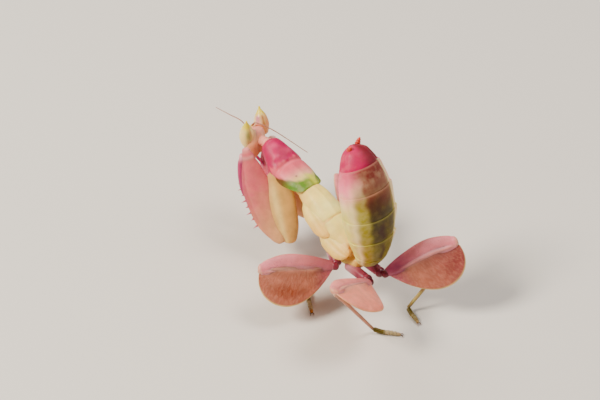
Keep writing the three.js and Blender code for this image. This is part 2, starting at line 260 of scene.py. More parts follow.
cuticle = {
    "ior": 1.55,          # chitin
    "shine": 0.28,        # wax dulls it
    "roughness": 0.42,
    "coatRoughness": 0.2,
    "glow": 0.35,         # how much light passes through the skin
    "depth": 0.6,         # how far it passes, in mm
    "reach": (1.0, 0.55, 0.4),   # red light passes further than green and blue
    "grainSize": 0.22,    # fine pits of the skin, drawn as coarse as they need to show
    "grainDepth": 0.05,   # in mm, as the wrinkles
    "wrinkleDepth": 0.2,
    "wrinkles": 0.6,      # how strongly the wrinkles show
    "mottleSize": 1.6,
    "richness": 1.08,     # how strong all the colours are
}


def cuticleMaterial(name, colour, roughness=cuticle["roughness"], grain=0.25, mottle=0.12,
                    glow=cuticle["glow"], coat=0.0, wrinkles=None):
    # Insect cuticle: thin chitin over pale tissue, waxy and slightly see-through, with fine pits.
    material = bpy.data.materials.new(name)
    material.use_nodes = True
    tree = material.node_tree
    tree.nodes.clear()
    out = addNode(tree, "ShaderNodeOutputMaterial")
    place = (addNode(tree, "ShaderNodeTexCoord"), "Object")
    mottling = addNode(tree, "ShaderNodeTexNoise", {}, {
        "Vector": place, "Scale": 1 / (cuticle["mottleSize"] * mm), "Detail": 4.0, "Roughness": 0.55})
    shade = addNode(tree, "ShaderNodeMapRange", {"interpolation_type": "SMOOTHSTEP"}, {
        "Value": (mottling, "Fac"), "From Min": 0.3, "From Max": 0.7,
        "To Min": 1 - mottle, "To Max": 1 + mottle * 0.6})
    bright = addNode(tree, "ShaderNodeHueSaturation", {}, {
        "Value": shade, "Saturation": cuticle["richness"], "Color": colour(tree)})
    pits = addNode(tree, "ShaderNodeTexNoise", {}, {
        "Vector": place, "Scale": 1 / (cuticle["grainSize"] * mm), "Detail": 2.0, "Roughness": 0.55})
    wear = addNode(tree, "ShaderNodeMapRange", {"interpolation_type": "SMOOTHSTEP"}, {
        "Value": (pits, "Fac"), "From Min": 0.2, "From Max": 0.8,
        "To Min": roughness - 0.06, "To Max": roughness + 0.1})
    relief = addNode(tree, "ShaderNodeBump", {}, {
        "Height": (pits, "Fac"), "Strength": grain, "Distance": cuticle["grainDepth"] * mm})
    if wrinkles is not None:
        relief = addNode(tree, "ShaderNodeBump", {}, {
            "Height": wrinkles(tree), "Strength": cuticle["wrinkles"],
            "Distance": cuticle["wrinkleDepth"] * mm, "Normal": relief})
    shader = addNode(tree, "ShaderNodeBsdfPrincipled", {}, {
        "Base Color": bright,
        "Roughness": wear,
        "IOR": cuticle["ior"],
        "Specular IOR Level": cuticle["shine"],
        "Subsurface Weight": glow,
        "Subsurface Radius": cuticle["reach"],
        "Subsurface Scale": cuticle["depth"] * mm,
        "Coat Weight": coat,
        "Coat Roughness": cuticle["coatRoughness"],
        "Normal": relief,
    })
    tree.links.new(shader.outputs[0], out.inputs[0])
    return material


def paint(base, *layers):
    # lays colours over a base colour, each where its own mark on the mesh says, a little broken up
    def colour(tree):
        plain = addNode(tree, "ShaderNodeRGB")
        plain.outputs[0].default_value = toLinear(base)
        result = (plain, "Color")
        place = addNode(tree, "ShaderNodeTexCoord")
        cloud = addNode(tree, "ShaderNodeTexNoise", {}, {
            "Vector": (place, "Object"), "Scale": 1 / (1.1 * mm), "Detail": 4.0, "Roughness": 0.55})
        uneven = addNode(tree, "ShaderNodeMapRange", {"interpolation_type": "SMOOTHSTEP"}, {
            "Value": (cloud, "Fac"), "From Min": 0.3, "From Max": 0.7, "To Min": 0.86, "To Max": 1.1})
        for name, shade in layers:
            marked = addNode(tree, "ShaderNodeAttribute", {"attribute_name": name})
            share = addNode(tree, "ShaderNodeMath", {"operation": "MULTIPLY", "use_clamp": True}, {
                0: (marked, "Fac"), 1: uneven})
            # a mix node takes its two colours at inputs 6 and 7 and gives the mix at output 2
            result = (addNode(tree, "ShaderNodeMix", {"data_type": "RGBA"}, {
                0: share, 6: result, 7: toLinear(shade)}), 2)
        return result
    return colour


# Camera and stage

view = {
    "turn": 40,          # degrees to the mantis's left of straight behind
    "height": 40,        # degrees above the floor
    "distance": 335,     # mm from the hips
    "lens": 142.56,
    "sensor": 36,
    "frameWidth": 600,
    "hipsAcross": 65,    # how far the hips stand from the middle of a frame that wide
    "hipsDown": 68,
}


def makeCamera():
    turn, height = math.radians(view["turn"]), math.radians(view["height"])
    back = np.array([math.sin(turn), math.cos(turn), 0])
    right = np.array([-back[1], back[0], 0])
    look = -back * math.cos(height) - np.array([0, 0, math.sin(height)])
    up = np.cross(right, look)
    focal = view["lens"] / view["sensor"] * view["frameWidth"]
    aim = look + view["hipsAcross"] / focal * right - view["hipsDown"] / focal * up
    place = (hips - view["distance"] * aim) * mm
    data = bpy.data.cameras.new("camera")
    data.lens = view["lens"]
    data.sensor_width = view["sensor"]
    data.clip_start = 0.01
    camera = bpy.data.objects.new("camera", data)
    axes = np.stack([right, up, -look, place], 1).tolist()
    camera.matrix_world = Matrix([*axes, [0, 0, 0, 1]])
    bpy.context.scene.collection.objects.link(camera)
    bpy.context.scene.camera = camera
    print("camera at", [round(float(v), 4) for v in place])


def areaLight(name, place, size, power, colour):
    data = bpy.data.lights.new(name, "AREA")
    data.shape = "DISK"
    data.size = size
    data.energy = power
    data.color = toLinear(colour)[:3]
    lamp = bpy.data.objects.new(name, data)
    lamp.location = place
    aim = Vector((hips + spot(8, 0, 6)) * mm) - Vector(place)
    lamp.rotation_euler = aim.to_track_quat("-Z", "Y").to_euler()
    bpy.context.scene.collection.objects.link(lamp)


stage = {
    "floorSize": 3.0,      # metres from its middle to each edge
    "floorColour": "#d9d6d0",
    "floorRoughness": 0.9,
    "skyColour": "#f2ece2",
    "skyStrength": 0.19,
    "lights": {            # place, size, power and colour
        "key": ((0.30, -0.10, 0.34), 0.14, 3.7, "#fff3e2"),
        "fill": ((-0.30, 0.28, 0.22), 0.35, 0.35, "#fff6ee"),
        "rim": ((-0.10, -0.34, 0.30), 0.2, 0.7, "#ffffff"),
        "top": ((-0.12, 0.12, 0.42), 0.18, 1.2, "#fff4ea"),
    },
}


def makeStage():
    size = stage["floorSize"]
    mesh = bpy.data.meshes.new("floor")
    corners = [(-size, -size, 0), (size, -size, 0), (size, size, 0), (-size, size, 0)]
    mesh.from_pydata(corners, [], [(0, 1, 2, 3)])
    floor = bpy.data.objects.new("floor", mesh)
    bpy.context.scene.collection.objects.link(floor)
    material = bpy.data.materials.new("matt studio card")
    material.use_nodes = True
    shader = material.node_tree.nodes["Principled BSDF"]
    shader.inputs["Base Color"].default_value = toLinear(stage["floorColour"])
    shader.inputs["Roughness"].default_value = stage["floorRoughness"]
    mesh.materials.append(material)
    world = bpy.data.worlds.new("studio")
    world.use_nodes = True
    background = world.node_tree.nodes["Background"]
    background.inputs[0].default_value = toLinear(stage["skyColour"])
    background.inputs[1].default_value = stage["skyStrength"]
    bpy.context.scene.world = world
    for name, light in stage["lights"].items():
        areaLight(name, *light)


makeCamera()
makeStage()
print("camera and stage made")

sideways = np.array([1.0, 0, 0])
sides = {"left": 1, "right": -1}


def onSide(point, sign):
    return np.asarray(point) if sign > 0 else mirrored(point)


# Repeats


def repeatTree(shape, material):
    # puts one small shape on every point, turned along "aim" and scaled by "stretch"
    tree = bpy.data.node_groups.new("repeat " + shape, "GeometryNodeTree")
    tree.interface.new_socket("Points", in_out="INPUT", socket_type="NodeSocketGeometry")
    tree.interface.new_socket("Unevenness", in_out="INPUT", socket_type="NodeSocketFloat")
    tree.interface.new_socket("Seed", in_out="INPUT", socket_type="NodeSocketInt").default_value = 3
    tree.interface.new_socket("Shapes", in_out="OUTPUT", socket_type="NodeSocketGeometry")
    given = addNode(tree, "NodeGroupInput")
    if shape == "spine":
        form = addNode(tree, "GeometryNodeMeshCone", {}, {
            "Vertices": 7, "Side Segments": 2, "Radius Top": 0.04 * mm, "Radius Bottom": 0.5 * mm,
            "Depth": 1 * mm})
    else:
        form = addNode(tree, "GeometryNodeMeshUVSphere", {}, {
            "Segments": 8, "Rings": 6, "Radius": 0.5 * mm})
    aim, stretch = (
        addNode(tree, "GeometryNodeInputNamedAttribute", {"data_type": "FLOAT_VECTOR"}, {"Name": name})
        for name in ("aim", "stretch"))
    turning = addNode(tree, "FunctionNodeAlignRotationToVector", {"axis": "Z"}, {"Vector": aim})
    less = addNode(tree, "ShaderNodeMath", {"operation": "SUBTRACT"}, {0: 1.0, 1: (given, "Unevenness")})
    more = addNode(tree, "ShaderNodeMath", {"operation": "ADD"}, {0: 1.0, 1: (given, "Unevenness")})
    uneven = addNode(tree, "FunctionNodeRandomValue", {"data_type": "FLOAT"}, {
        "Min": less, "Max": more, "Seed": (given, "Seed")})
    # the float pair of a random value node are its third and fourth inputs, and its second output
    tree.links.new(less.outputs[0], uneven.inputs[2])
    tree.links.new(more.outputs[0], uneven.inputs[3])
    size = addNode(tree, "ShaderNodeVectorMath", {"operation": "SCALE"}, {
        0: stretch, "Scale": (uneven, 1)})
    placed = addNode(tree, "GeometryNodeInstanceOnPoints", {}, {
        "Points": (given, "Points"), "Instance": form, "Rotation": turning, "Scale": size})
    real = addNode(tree, "GeometryNodeRealizeInstances", {}, {"Geometry": placed})
    painted = addNode(tree, "GeometryNodeSetMaterial", {}, {"Geometry": real, "Material": material})
    result = addNode(tree, "NodeGroupOutput")
    tree.links.new(painted.outputs[0], result.inputs[0])
    return tree


def repeated(name, places, aims, stretches, shape, material, unevenness):
    points = bpy.data.meshes.new(name + " points")
    points.from_pydata(((np.asarray(places) + hips) * mm).tolist(), [], [])
    for key, values in (("aim", unit(aims)), ("stretch", np.asarray(stretches))):
        stored = points.attributes.new(key, "FLOAT_VECTOR", "POINT")
        stored.data.foreach_set("vector", np.ascontiguousarray(values, np.float32).ravel())
    made = bpy.data.objects.new(name, points)
    bpy.context.scene.collection.objects.link(made)
    tree = repeatTree(shape, material)
    grower = made.modifiers.new("repeat", "NODES")
    grower.node_group = tree
    sockets = {item.name: item.identifier for item in tree.interface.items_tree if item.in_out == "INPUT"}
    grower[sockets["Unevenness"]] = unevenness
    seen = made.evaluated_get(bpy.context.evaluated_depsgraph_get())
    plain = bpy.data.meshes.new_from_object(seen)
    made.modifiers.clear()
    made.data = plain
    plain.name = name
    for polygon in plain.polygons:
        polygon.use_smooth = True
    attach(made, "root")
    return made


# Head

head = {
    "right": (0.5, -0.84, -0.2),   # where the turned head's right side points
    "skull": [(23.4, 0.6, 6.7), (23.8, 0.25, 8.6), (24.3, -0.1, 10.5)],
    "skullSizes": [[0, .6, .6], [.2, 1.15, 1.0], [.6, 1.8, 1.25], [.9, 1.6, 1.0], [1, .9, .6]],
    "leftEye": [(23.9, 1.6, 8.25), (23.95, 1.85, 10.1), (23.6, 2.15, 13.2)],
    "rightEye": [(24.8, -1.6, 8.0), (25.4, -2.0, 9.9), (26.3, -2.35, 12.1)],
    "leftEyeSizes": [[0, .5, .5], [.13, .95, .9], [.38, 1.12, 1.1], [.65, .85, .8], [.86, .34, .34],
                     [.93, .16, .16], [1, .13, .13]],
    "rightEyeSizes": [[0, .5, .5], [.13, .95, 1.0], [.38, 1.12, 1.15], [.65, .9, .9], [.86, .34, .36],
                      [.93, .17, .17], [1, .13, .13]],
    "cheek": [(23.55, 0.9, 6.35), (23.65, 1.05, 7.9), (23.75, 1.2, 9.9), (23.85, 1.45, 11.3)],
    "cheekSizes": [[0, .7, .6], [.2, 1.3, 1.1], [.5, 1.4, 1.2], [.8, .9, .85], [1, .3, .3]],
    "mouth": [(23.6, 0.7, 6.8), (24.0, 0.9, 5.4)],
    "mouthSizes": [[0, .6, .5], [.5, .5, .45], [1, .25, .25]],
    "neck": [(20.6, 0, 9.2), (22.0, 0.1, 9.4), (23.4, 0.3, 9.2)],
    "neckSizes": [[0, .8, .8], [.3, .8, .8], [.6, .7, .7], [1, .85, .85]],
    "jawSizes": [[0, .22, .2], [.5, .2, .18], [1, .07, .07]],
    "palpSizes": [[0, .11, .11], [.3, .1, .1], [.5, .13, .13], [.62, .09, .09], [.85, .13, .13],
                  [1, .06, .06]],
    "simpleEyes": ((0.0, -0.15), (0.28, -0.42), (-0.28, -0.42)),   # across and above the crown
    "leftFeeler": [(25.3, 0.5, 9.9), (26.2, 1.0, 11.1), (28.6, 1.2, 10.9), (32.4, 0.8, 9.8)],
    "rightFeeler": [(25.3, -0.4, 10.3), (24.7, -0.3, 11.0), (22.9, -1.6, 10.4), (18.6, -5.0, 6.9)],
    "feelerWidth": 0.2,
    "stalkLength": 0.7,    # the feeler's first joints are longer than the rest
    "stalkStep": 0.26,
    "beadStep": 0.15,
}


def spots(points):
    return [spot(*point) for point in points]


# compound eye: glassy chitin over pale pigment, drawn up into a spike
eyeSkin = cuticleMaterial("compound eye cuticle", paint(
    "#f2dc92", ("core", "#8a8e4c"), ("inner", "#cc8694"), ("flush", "#e69468"), ("dark", "#8e4020"),
    ("spike", "#dccb34")), roughness=0.34, grain=0.12, mottle=0.06, coat=0.15)
# head capsule: thin cuticle, peach at the cheeks
faceSkin = cuticleMaterial("head cuticle", paint(
    "#f2b08c", ("cheek", "#f0a078"), ("pale", "#f2d3a0"), ("blush", "#ea9c94")), grain=0.2)
jawSkin = cuticleMaterial("mouthpart chitin", paint("#c98a62", ("dark", "#5a2c18")), roughness=0.3)
# bare eyes of three lenses between the compound eyes
lensSkin = cuticleMaterial("simple eye lens", paint("#d8c070"), roughness=0.12, grain=0.02, coat=0.6)
feelerSkin = cuticleMaterial("feeler cuticle", paint("#a87866"), roughness=0.5)


def makeHead():
    right = spot(*head["right"])

    def relief(s, a):
        swell = 0.12 * bump(0.25, 0.12, s) * np.cos(a) ** 2
        return swell - 0.10 * bump(backAngle, 0.16, a) * smoothStep(0.3, 0.6, s)

    skull = sweep(spots(head["skull"]), head["skullSizes"], right, rings=70, sides=56, relief=relief)
    share = skull["marks"]["along"]
    mark(skull, "cheek", (1 - smoothStep(0.2, 0.75, share)) * 0.95)
    mark(skull, "blush", smoothStep(0.7, 0.95, share) * 0.8)
    # cheeks: the left one is seen, the right one mirrors it across the head
    cheeks = []
    middle = spot(*head["skull"][1])
    for sign in (1, -1):
        line = np.array(spots(head["cheek"]))
        if sign < 0:
            line = line - 2 * ((line - middle) @ unit(right))[:, None] * unit(right) + spot(0.5, 0, -0.8)
        cheek = sweep(line, head["cheekSizes"], right, rings=60, sides=48)
        share = cheek["marks"]["along"]
        mark(cheek, "cheek", np.clip(1.0 - 0.9 * share, 0, 1) * 0.8)
        mark(cheek, "pale", smoothStep(0.55, 0.9, share) * 0.6)
        cheeks.append(cheek)
    piece("head", [skull] + cheeks, faceSkin, ["head"])
    for side in sides:
        makeEye(side, right)
    neck = sweep(spots(head["neck"]), head["neckSizes"], right, rings=50, sides=32,
                 relief=lambda s, a: 0.05 * np.sin(s * 40))
    mark(neck, "blush", 0.7)
    piece("neck", [neck], faceSkin, ["neck"])
    makeMouth(right)
    crown = spot(*head["skull"][-1])
    places = [crown + unit(right) * across + spot(1.0, 0, rise) for across, rise in head["simpleEyes"]]
    aims = [spot(1, 0, 0.2)] * len(places)
    sizes = [[.3, .3, .24]] * len(places)
    repeated("simple_eyes", places, aims, sizes, "bead", lensSkin, 0.0)
    for side in sides:
        makeFeeler(side, lineThrough(spots(head[side + "Feeler"]), 400))


def makeEye(side, right):
    # the eye is egg-shaped, with a spike on its top
    line = spots(head[side + "Eye"])
    eye = sweep(line, head[side + "EyeSizes"], right, rings=80, sides=48, rounded=(0.9, 0.8))
    share, around = surface(eye)
    degrees = np.degrees(around)
    mark(eye, "spike", smoothStep(0.66, 0.86, share) * 0.95)
    if side == "left":
        mark(eye, "core", bump(0.58, 0.2, share) * bump(219, 22, degrees) * 0.85)
        mark(eye, "dark", bump(246, 10, degrees) * smoothStep(0.3, 0.7, share) * 0.5)
    else:
        inner = bump(175, 32, degrees) * (1 - smoothStep(0.68, 0.8, share))
        mark(eye, "inner", inner * smoothStep(0.3, 0.45, share))
        dark = bump(221, 16, degrees) * (1 - smoothStep(0.7, 0.84, share))
        mark(eye, "dark", dark * smoothStep(0.3, 0.5, share) * 0.85)
        outer = smoothStep(226, 246, degrees) * (1 - smoothStep(0.6, 0.85, share))
        mark(eye, "flush", np.maximum(outer, 1 - smoothStep(0.38, 0.5, share)) * 0.85)
    piece("eye_" + side, [eye], eyeSkin, ["eye_" + side])


def makeMouth(right):
    # a lip between two jaws and two jointed palps
    root, tip = spots(head["mouth"])
    lip = sweep([root, tip], head["mouthSizes"], right, rings=30, sides=28)
    front = unit(np.cross(right, tip - root))
    if front[1] > 0:
        front = -front
    parts = [lip]
    for sign in (1, -1):
        across = unit(right) * sign
        hinge = root + across * 0.5 + front * 0.1
        jawLine = [hinge, hinge * 0.4 + (tip + across * 0.42) * 0.6, tip + across * 0.12]
        jaw = sweep(jawLine, head["jawSizes"], right, rings=18, sides=14)
        mark(jaw, "dark", smoothStep(0.5, 0.9, jaw["marks"]["along"]))
        palpLine = [hinge + front * 0.1, hinge + across * 0.25 + spot(0.35, 0, -0.6),
                    hinge + spot(0.5, 0, -1.3)]
        parts += [jaw, sweep(palpLine, head["palpSizes"], right, rings=24, sides=10)]
    piece("mouthparts", parts, jawSkin, ["mouthparts"])


def makeFeeler(side, path):
    # a stalk, a second joint and many short beads that thin out to the tip
    length = np.cumsum(np.linalg.norm(np.diff(path, axis=0), axis=1))[-1]
    stalk = head["stalkLength"]
    shares = [0.0]
    while shares[-1] * length < length - 0.08:
        step = head["stalkStep"] if shares[-1] * length < stalk else head["beadStep"]
        shares.append(shares[-1] + step / length)
    shares = np.clip(shares, 0, 1)
    places, aims = along(path, shares)
    widths = head["feelerWidth"] * (0.8 * (1 - smoothStep(0, 0.09, shares)) + 1.0 - 0.45 * shares)
    stretches = np.stack([widths, widths, np.where(shares * length < stalk, 0.5, 0.24)], 1)
    made = repeated("antenna_" + side, places, aims, stretches, "bead", feelerSkin, 0.06)
    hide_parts("antenna_" + side)


makeHead()
print("head made")

# Pronotum, thorax and wing pads

trunk = {
    "line": [(20.6, 0, 9.2), (17.2, 0, 7.4), (13.6, 0, 6.5), (11.0, 0, 6.0), (9.2, 0, 5.3), (6.8, 0, 4.0),
             (4.2, 0, 2.9), (1.1, 0, 2.2)],
    "sizes": [[0, .85, .9], [.06, 1.15, 1.15], [.2, 1.25, 1.25], [.36, 1.4, 1.35], [.47, 1.9, 1.7],
              [.58, 2.25, 1.95], [.74, 2.4, 2.0], [.88, 2.1, 1.75], [1, 1.5, 1.3]],
    "shield": [(21.5, 0, 9.9), (17.8, 0, 7.9), (14.2, 0, 6.8), (11.5, 0, 6.1)],
    "shieldSizes": [[0, .9, .8], [.06, 1.45, 1.3], [.2, 2.0, 1.62], [.42, 2.62, 1.6], [.52, 2.65, 1.6],
                    [.66, 2.72, 1.7], [.82, 2.5, 1.8], [1, 1.95, 1.8]],
    "rimFront": (17.0, 0, 6.65),
    "rimRear": (12.0, 0, 7.35),
    "sternum": [(9.0, 0, 3.0), (5.5, 0, 1.3), (2.4, 0, 0.7), (0.2, 0, 0.9)],
    "sternumSizes": [[0, 1.2, 1.0], [.3, 1.7, 1.2], [.7, 1.75, 1.2], [1, 1.3, 1.0]],
    "sockets": [(5.9, 1.35, .1), (2.6, 1.15, -.35)],   # where the walking legs leave the body
    "socketSizes": [[0, 1.0, 1.0], [.6, .95, .9], [1, .8, .75]],
    "forePad": [(11.4, 1.35, 6.1), (8.4, 1.75, 5.2), (5.0, 2.1, 3.7)],
    "hindPad": [(7.2, 1.7, 3.8), (4.4, 1.85, 3.0), (1.3, 1.9, 2.4)],
    "padSizes": [[0, .4, .3], [.15, 1.35, .5], [.4, 1.85, .58], [.7, 1.8, .5], [.9, 1.25, .34],
                 [1, .5, .2]],
}

# pronotum: a thick glossy shell, magenta at the front, with a green rim and painted highlights on its front
shieldSkin = cuticleMaterial("pronotum cuticle", paint(
    "#dc6c7a", ("front", "#b02256"), ("glint", "#e46a8e"), ("seam", "#a83a58"), ("rear", "#eac4a6"),
    ("lime", "#c6c660"), ("brown", "#5e3c0c"), ("green", "#507c08"), ("knob", "#c4c650"),
    ("dot", "#5c2a34")),
    roughness=0.46, grain=0.26, mottle=0.12)
# thorax: cream cuticle with peach edges, thin over the muscle
thoraxSkin = cuticleMaterial("thorax cuticle", paint(
    "#f4de84", ("peach", "#f2c276"), ("pale", "#fbefa0"), ("seam", "#cf9e4c"), ("brown", "#a8642c")),
    grain=0.25, mottle=0.1)


def makeShield():
    line = spots(trunk["shield"])

    def relief(s, a):
        back = np.clip(-np.sin(a), 0, 1)
        groove = -0.2 * bump(0.46 + 0.03 * np.cos(a) ** 2, 0.03, s) * (0.4 + 0.6 * back)
        bumps = 0
        for turn in (-1, 1):   # a swelling and a dimple behind it on each side of the back
            bumps = bumps + 0.22 * bump(0.3, 0.1, s) * bump(backAngle + turn * 0.55, 0.35, a)
            bumps = bumps - 0.14 * bump(0.36, 0.035, s) * bump(backAngle + turn * 0.5, 0.3, a)
        keel = 0.10 * bump(backAngle, 0.12, a) * smoothStep(0.5, 0.6, s)
        lip = 0.16 * bump(0.985, 0.03, s) * back
        return groove + bumps + keel + lip

    shell = sweep(line, trunk["shieldSizes"], sideways, rings=150, sides=128, rounded=(0.8, 0.35),
                  relief=relief)
    front, rear = spot(*trunk["rimFront"]), spot(*trunk["rimRear"])
    normal = unit(np.cross(rear - front, sideways))
    if normal[2] < 0:
        normal = -normal
    above = (shell["vertices"] - front) @ normal
    below = np.minimum(above, 0)
    # the shell stops at its rim, which is a rounded edge, and is shut underneath
    shell["vertices"] = shell["vertices"] - below[:, None] * 0.93 * normal
    share, around = surface(shell)
    back = np.clip(-np.sin(around), 0, 1)
    wave = 0.06 * np.sin(around * 7) + 0.04 * np.sin(around * 17 + 2)
    # how near the rim: its lower edge and its rear end
    toEnd = (1 - share) * 11.4
    near = -np.log(np.exp(-3 * above) + np.exp(-3 * toEnd)) / 3
    dorsal = bump(1.42 * math.pi, 0.55, around)
    degrees = np.degrees(around)
    band = 1.0 + 0.12 * smoothStep(0.7, 0.85, share) + wave
    band = band * (1 - 0.42 * smoothStep(262, 238, degrees) * (degrees > 90))
    green = (1 - smoothStep(0.75, 1.1, near / band)) * smoothStep(0.46, 0.54, share)
    border = 0.40 - 0.035 * smoothStep(30, 80, degrees - 270) + wave * 0.3
    mark(shell, "front", (1 - smoothStep(border - 0.02, border + 0.06, share)) * 0.95)
    # painted highlights: pale glints on the front's swellings, where light would catch the gloss
    shine = bump(0.3, 0.06, share) * bump(backAngle + 0.5, 0.22, around)
    shine = shine + bump(0.14, 0.05, share) * bump(backAngle + 0.35, 0.4, around)
    shine = shine + bump(0.3, 0.06, share) * bump(backAngle - 0.5, 0.22, around)
    mark(shell, "glint", np.clip(shine, 0, 1) * 0.5)
    mark(shell, "seam", bump(0.44, 0.02, share) * 0.35 * back)
    mark(shell, "rear", smoothStep(0.55, 0.85, share) * 0.85 * smoothStep(0.0, 0.6, back))
    lime = bump(1.15, 0.35, near / band) * smoothStep(0.62, 0.85, share)
    mark(shell, "lime", np.clip(np.maximum(lime, dorsal * smoothStep(0.8, 0.94, share)), 0, 1) * 0.85)
    mark(shell, "brown", green * (1 - smoothStep(0.7, 0.84, share)))
    mark(shell, "green", green * smoothStep(0.62, 0.8, share) * (1 - 0.2 * dorsal))
    mark(shell, "knob", smoothStep(0.74, 0.82, share) * bump(248, 15, degrees) * 0.85)
    mark(shell, "dot", bump(0.72, 0.012, share) * bump(backAngle + 0.35, 0.05, around))
    piece("pronotum", [shell], shieldSkin, ["pronotum"])


def makeThorax():
    def relief(s, a):
        back = np.clip(-np.sin(a), 0, 1)
        folds = -0.16 * bump(0.40, 0.012, s) - 0.13 * bump(0.697, 0.01, s)
        folds = folds - 0.08 * bump(0.55, 0.012, s) * (1 - back) - 0.07 * bump(0.84, 0.01, s) * (1 - back)
        keel = 0.12 * bump(backAngle, 0.13, a) * (bump(0.55, 0.13, s) + bump(0.85, 0.1, s))
        shoulders = bump(backAngle - 0.7, 0.3, a) + bump(backAngle + 0.7, 0.3, a)
        return folds + keel + 0.10 * shoulders * bump(0.5, 0.07, s)

    skin = sweep(spots(trunk["line"]), trunk["sizes"], sideways, rings=190, sides=96, relief=relief)
    share, around = surface(skin)
    back = np.clip(-np.sin(around), 0, 1)
    peach = bump(0.44, 0.05, share) * 0.4 + (1 - back) * 0.45 + bump(0.95, 0.07, share) * 0.7
    mark(skin, "peach", np.clip(peach, 0, 1))
    mark(skin, "pale", back * bump(0.62, 0.06, share) * 0.8 + back * bump(0.78, 0.06, share) * 0.4)
    mark(skin, "seam", np.clip(bump(0.697, 0.006, share) + bump(0.4, 0.006, share), 0, 1) * 0.6)
    torn = bump(318, 17, np.degrees(around) + 5 * np.sin(share * 150)) * bump(0.955, 0.022, share)
    mark(skin, "brown", np.maximum(bump(0.985, 0.02, share) * 0.6, torn))
    piece("thorax", [skin], thoraxSkin, ["prothorax", "mesothorax", "metathorax"])
    makeSternum()
    for side, sign in sides.items():
        for name, key in (("forewing_pad_", "forePad"), ("hindwing_pad_", "hindPad")):
            makePad(name + side, key, sign)


def makeSternum():
    # the underside of the thorax and the four sockets of the walking legs
    sternum = sweep(spots(trunk["sternum"]), trunk["sternumSizes"], sideways, rings=70, sides=64,
                    relief=lambda s, a: -0.12 * bump(0.5, 0.03, s))
    mark(sternum, "peach", 0.8)
    mark(sternum, "brown", 0.35)
    parts = [sternum]
    for root in spots(trunk["sockets"]):
        for sign in (1, -1):
            place = onSide(root, sign)
            socket = sweep([place + onSide(spot(0.3, -0.5, 1.3), sign), place], trunk["socketSizes"],
                           sideways, rings=24, sides=32)
            share = socket["marks"]["along"]
            mark(socket, "peach", 1 - smoothStep(0.3, 0.9, share))
            mark(socket, "brown", smoothStep(0.5, 1.0, share) * 0.8)
            parts.append(socket)
    piece("sternum", parts, thoraxSkin)


def makePad(name, key, sign):
    def relief(s, a):
        veins = 0.04 * np.abs(np.sin(a)) * np.cos(np.cos(a) * 11)
        return veins * smoothStep(0.1, 0.3, s)

    line = [onSide(point, sign) for point in spots(trunk[key])]
    across = onSide(spot(-0.3, -0.75, 0.7), sign)
    pad = sweep(line, trunk["padSizes"], across, rings=70, sides=64, rounded=(0.5, 1.5), relief=relief)
    share, around = surface(pad)
    rim = np.clip(np.abs(np.cos(around)) ** 6 + smoothStep(0.85, 1.0, share), 0, 1)
    mark(pad, "peach", np.clip(0.25 + 0.5 * smoothStep(0.3, 0.9, share) + 0.3 * rim, 0, 1))
    mark(pad, "seam", rim * 0.55)
    torn = bump(0.89, 0.08, share) * bump(40, 20, np.degrees(around) + 5 * np.sin(share * 90))
    mark(pad, "brown", torn * (key == "hindPad"))
    piece(name, [pad], thoraxSkin, [name])


makeShield()
makeThorax()
print("thorax made")

# Abdomen

belly = {
    "line": [(-.5, -.05, 1.7), (-1.1, -.12, 4.6), (-.6, -.15, 9.0), (.1, -.05, 13.0), (1.5, 0, 17.0),
             (3.2, 0, 20.3)],
    "sizes": [[0, 1.5, 1.1], [.04, 2.1, 1.6], [.14, 2.85, 2.3], [.3, 3.75, 2.9], [.48, 4.15, 3.2],
              [.66, 4.0, 3.05], [.82, 3.2, 2.6], [.93, 2.2, 1.9], [1, 1.15, 1.0]],
    "edges": [0, .11, .27, .47, .66, .84, 1],
    "overlap": 0.012,      # how far each plate runs over the next, as a share of the whole
    "lip": 0.03,           # how far a plate's rear edge stands out, in mm
    "stripeStrengths": [0.35, 0.8, 0.9, 0.65, 0.2, 0.0],   # the dark stripe, plate by plate
    "stripeWidths": [12, 9, 11, 18, 20, 10],               # in degrees
    "stripeCentres": [90, 86, 84, 80, 84, 80],             # degrees from the left side, round the underside
    "leftCercus": [(2.8, .8, 19.6), (2.6, .95, 20.4), (2.35, 1.0, 20.9)],
    "rightCercus": [(3.2, -.85, 19.6), (3.1, -1.0, 20.4), (2.95, -1.15, 21.15)],
    "cercusSizes": [[0, .36, .36], [.3, .38, .38], [.7, .26, .26], [1, .12, .12]],
}

# abdomen plates: thin cuticle over the gut, olive below and pink at the sides and tip, with painted shade on
# the middle of the underside and on the tip's right half
bellySkin = cuticleMaterial("abdomen plate cuticle", paint(
    "#f4deb0", ("lime", "#dccf6a"), ("olive", "#a0962e"), ("deep", "#453a00"), ("mauve", "#7c3630"),
    ("dark", "#3a1a04"), ("blush", "#ff8ea2"), ("rose", "#b82a58"), ("maroon", "#742a30"),
    ("rim", "#b4a85c"), ("pinkRim", "#b87c70")),
    roughness=0.5, grain=0.24, mottle=0.08)
cercusSkin = cuticleMaterial("cercus cuticle", paint("#d0584e", ("dark", "#b03a34")), grain=0.3)


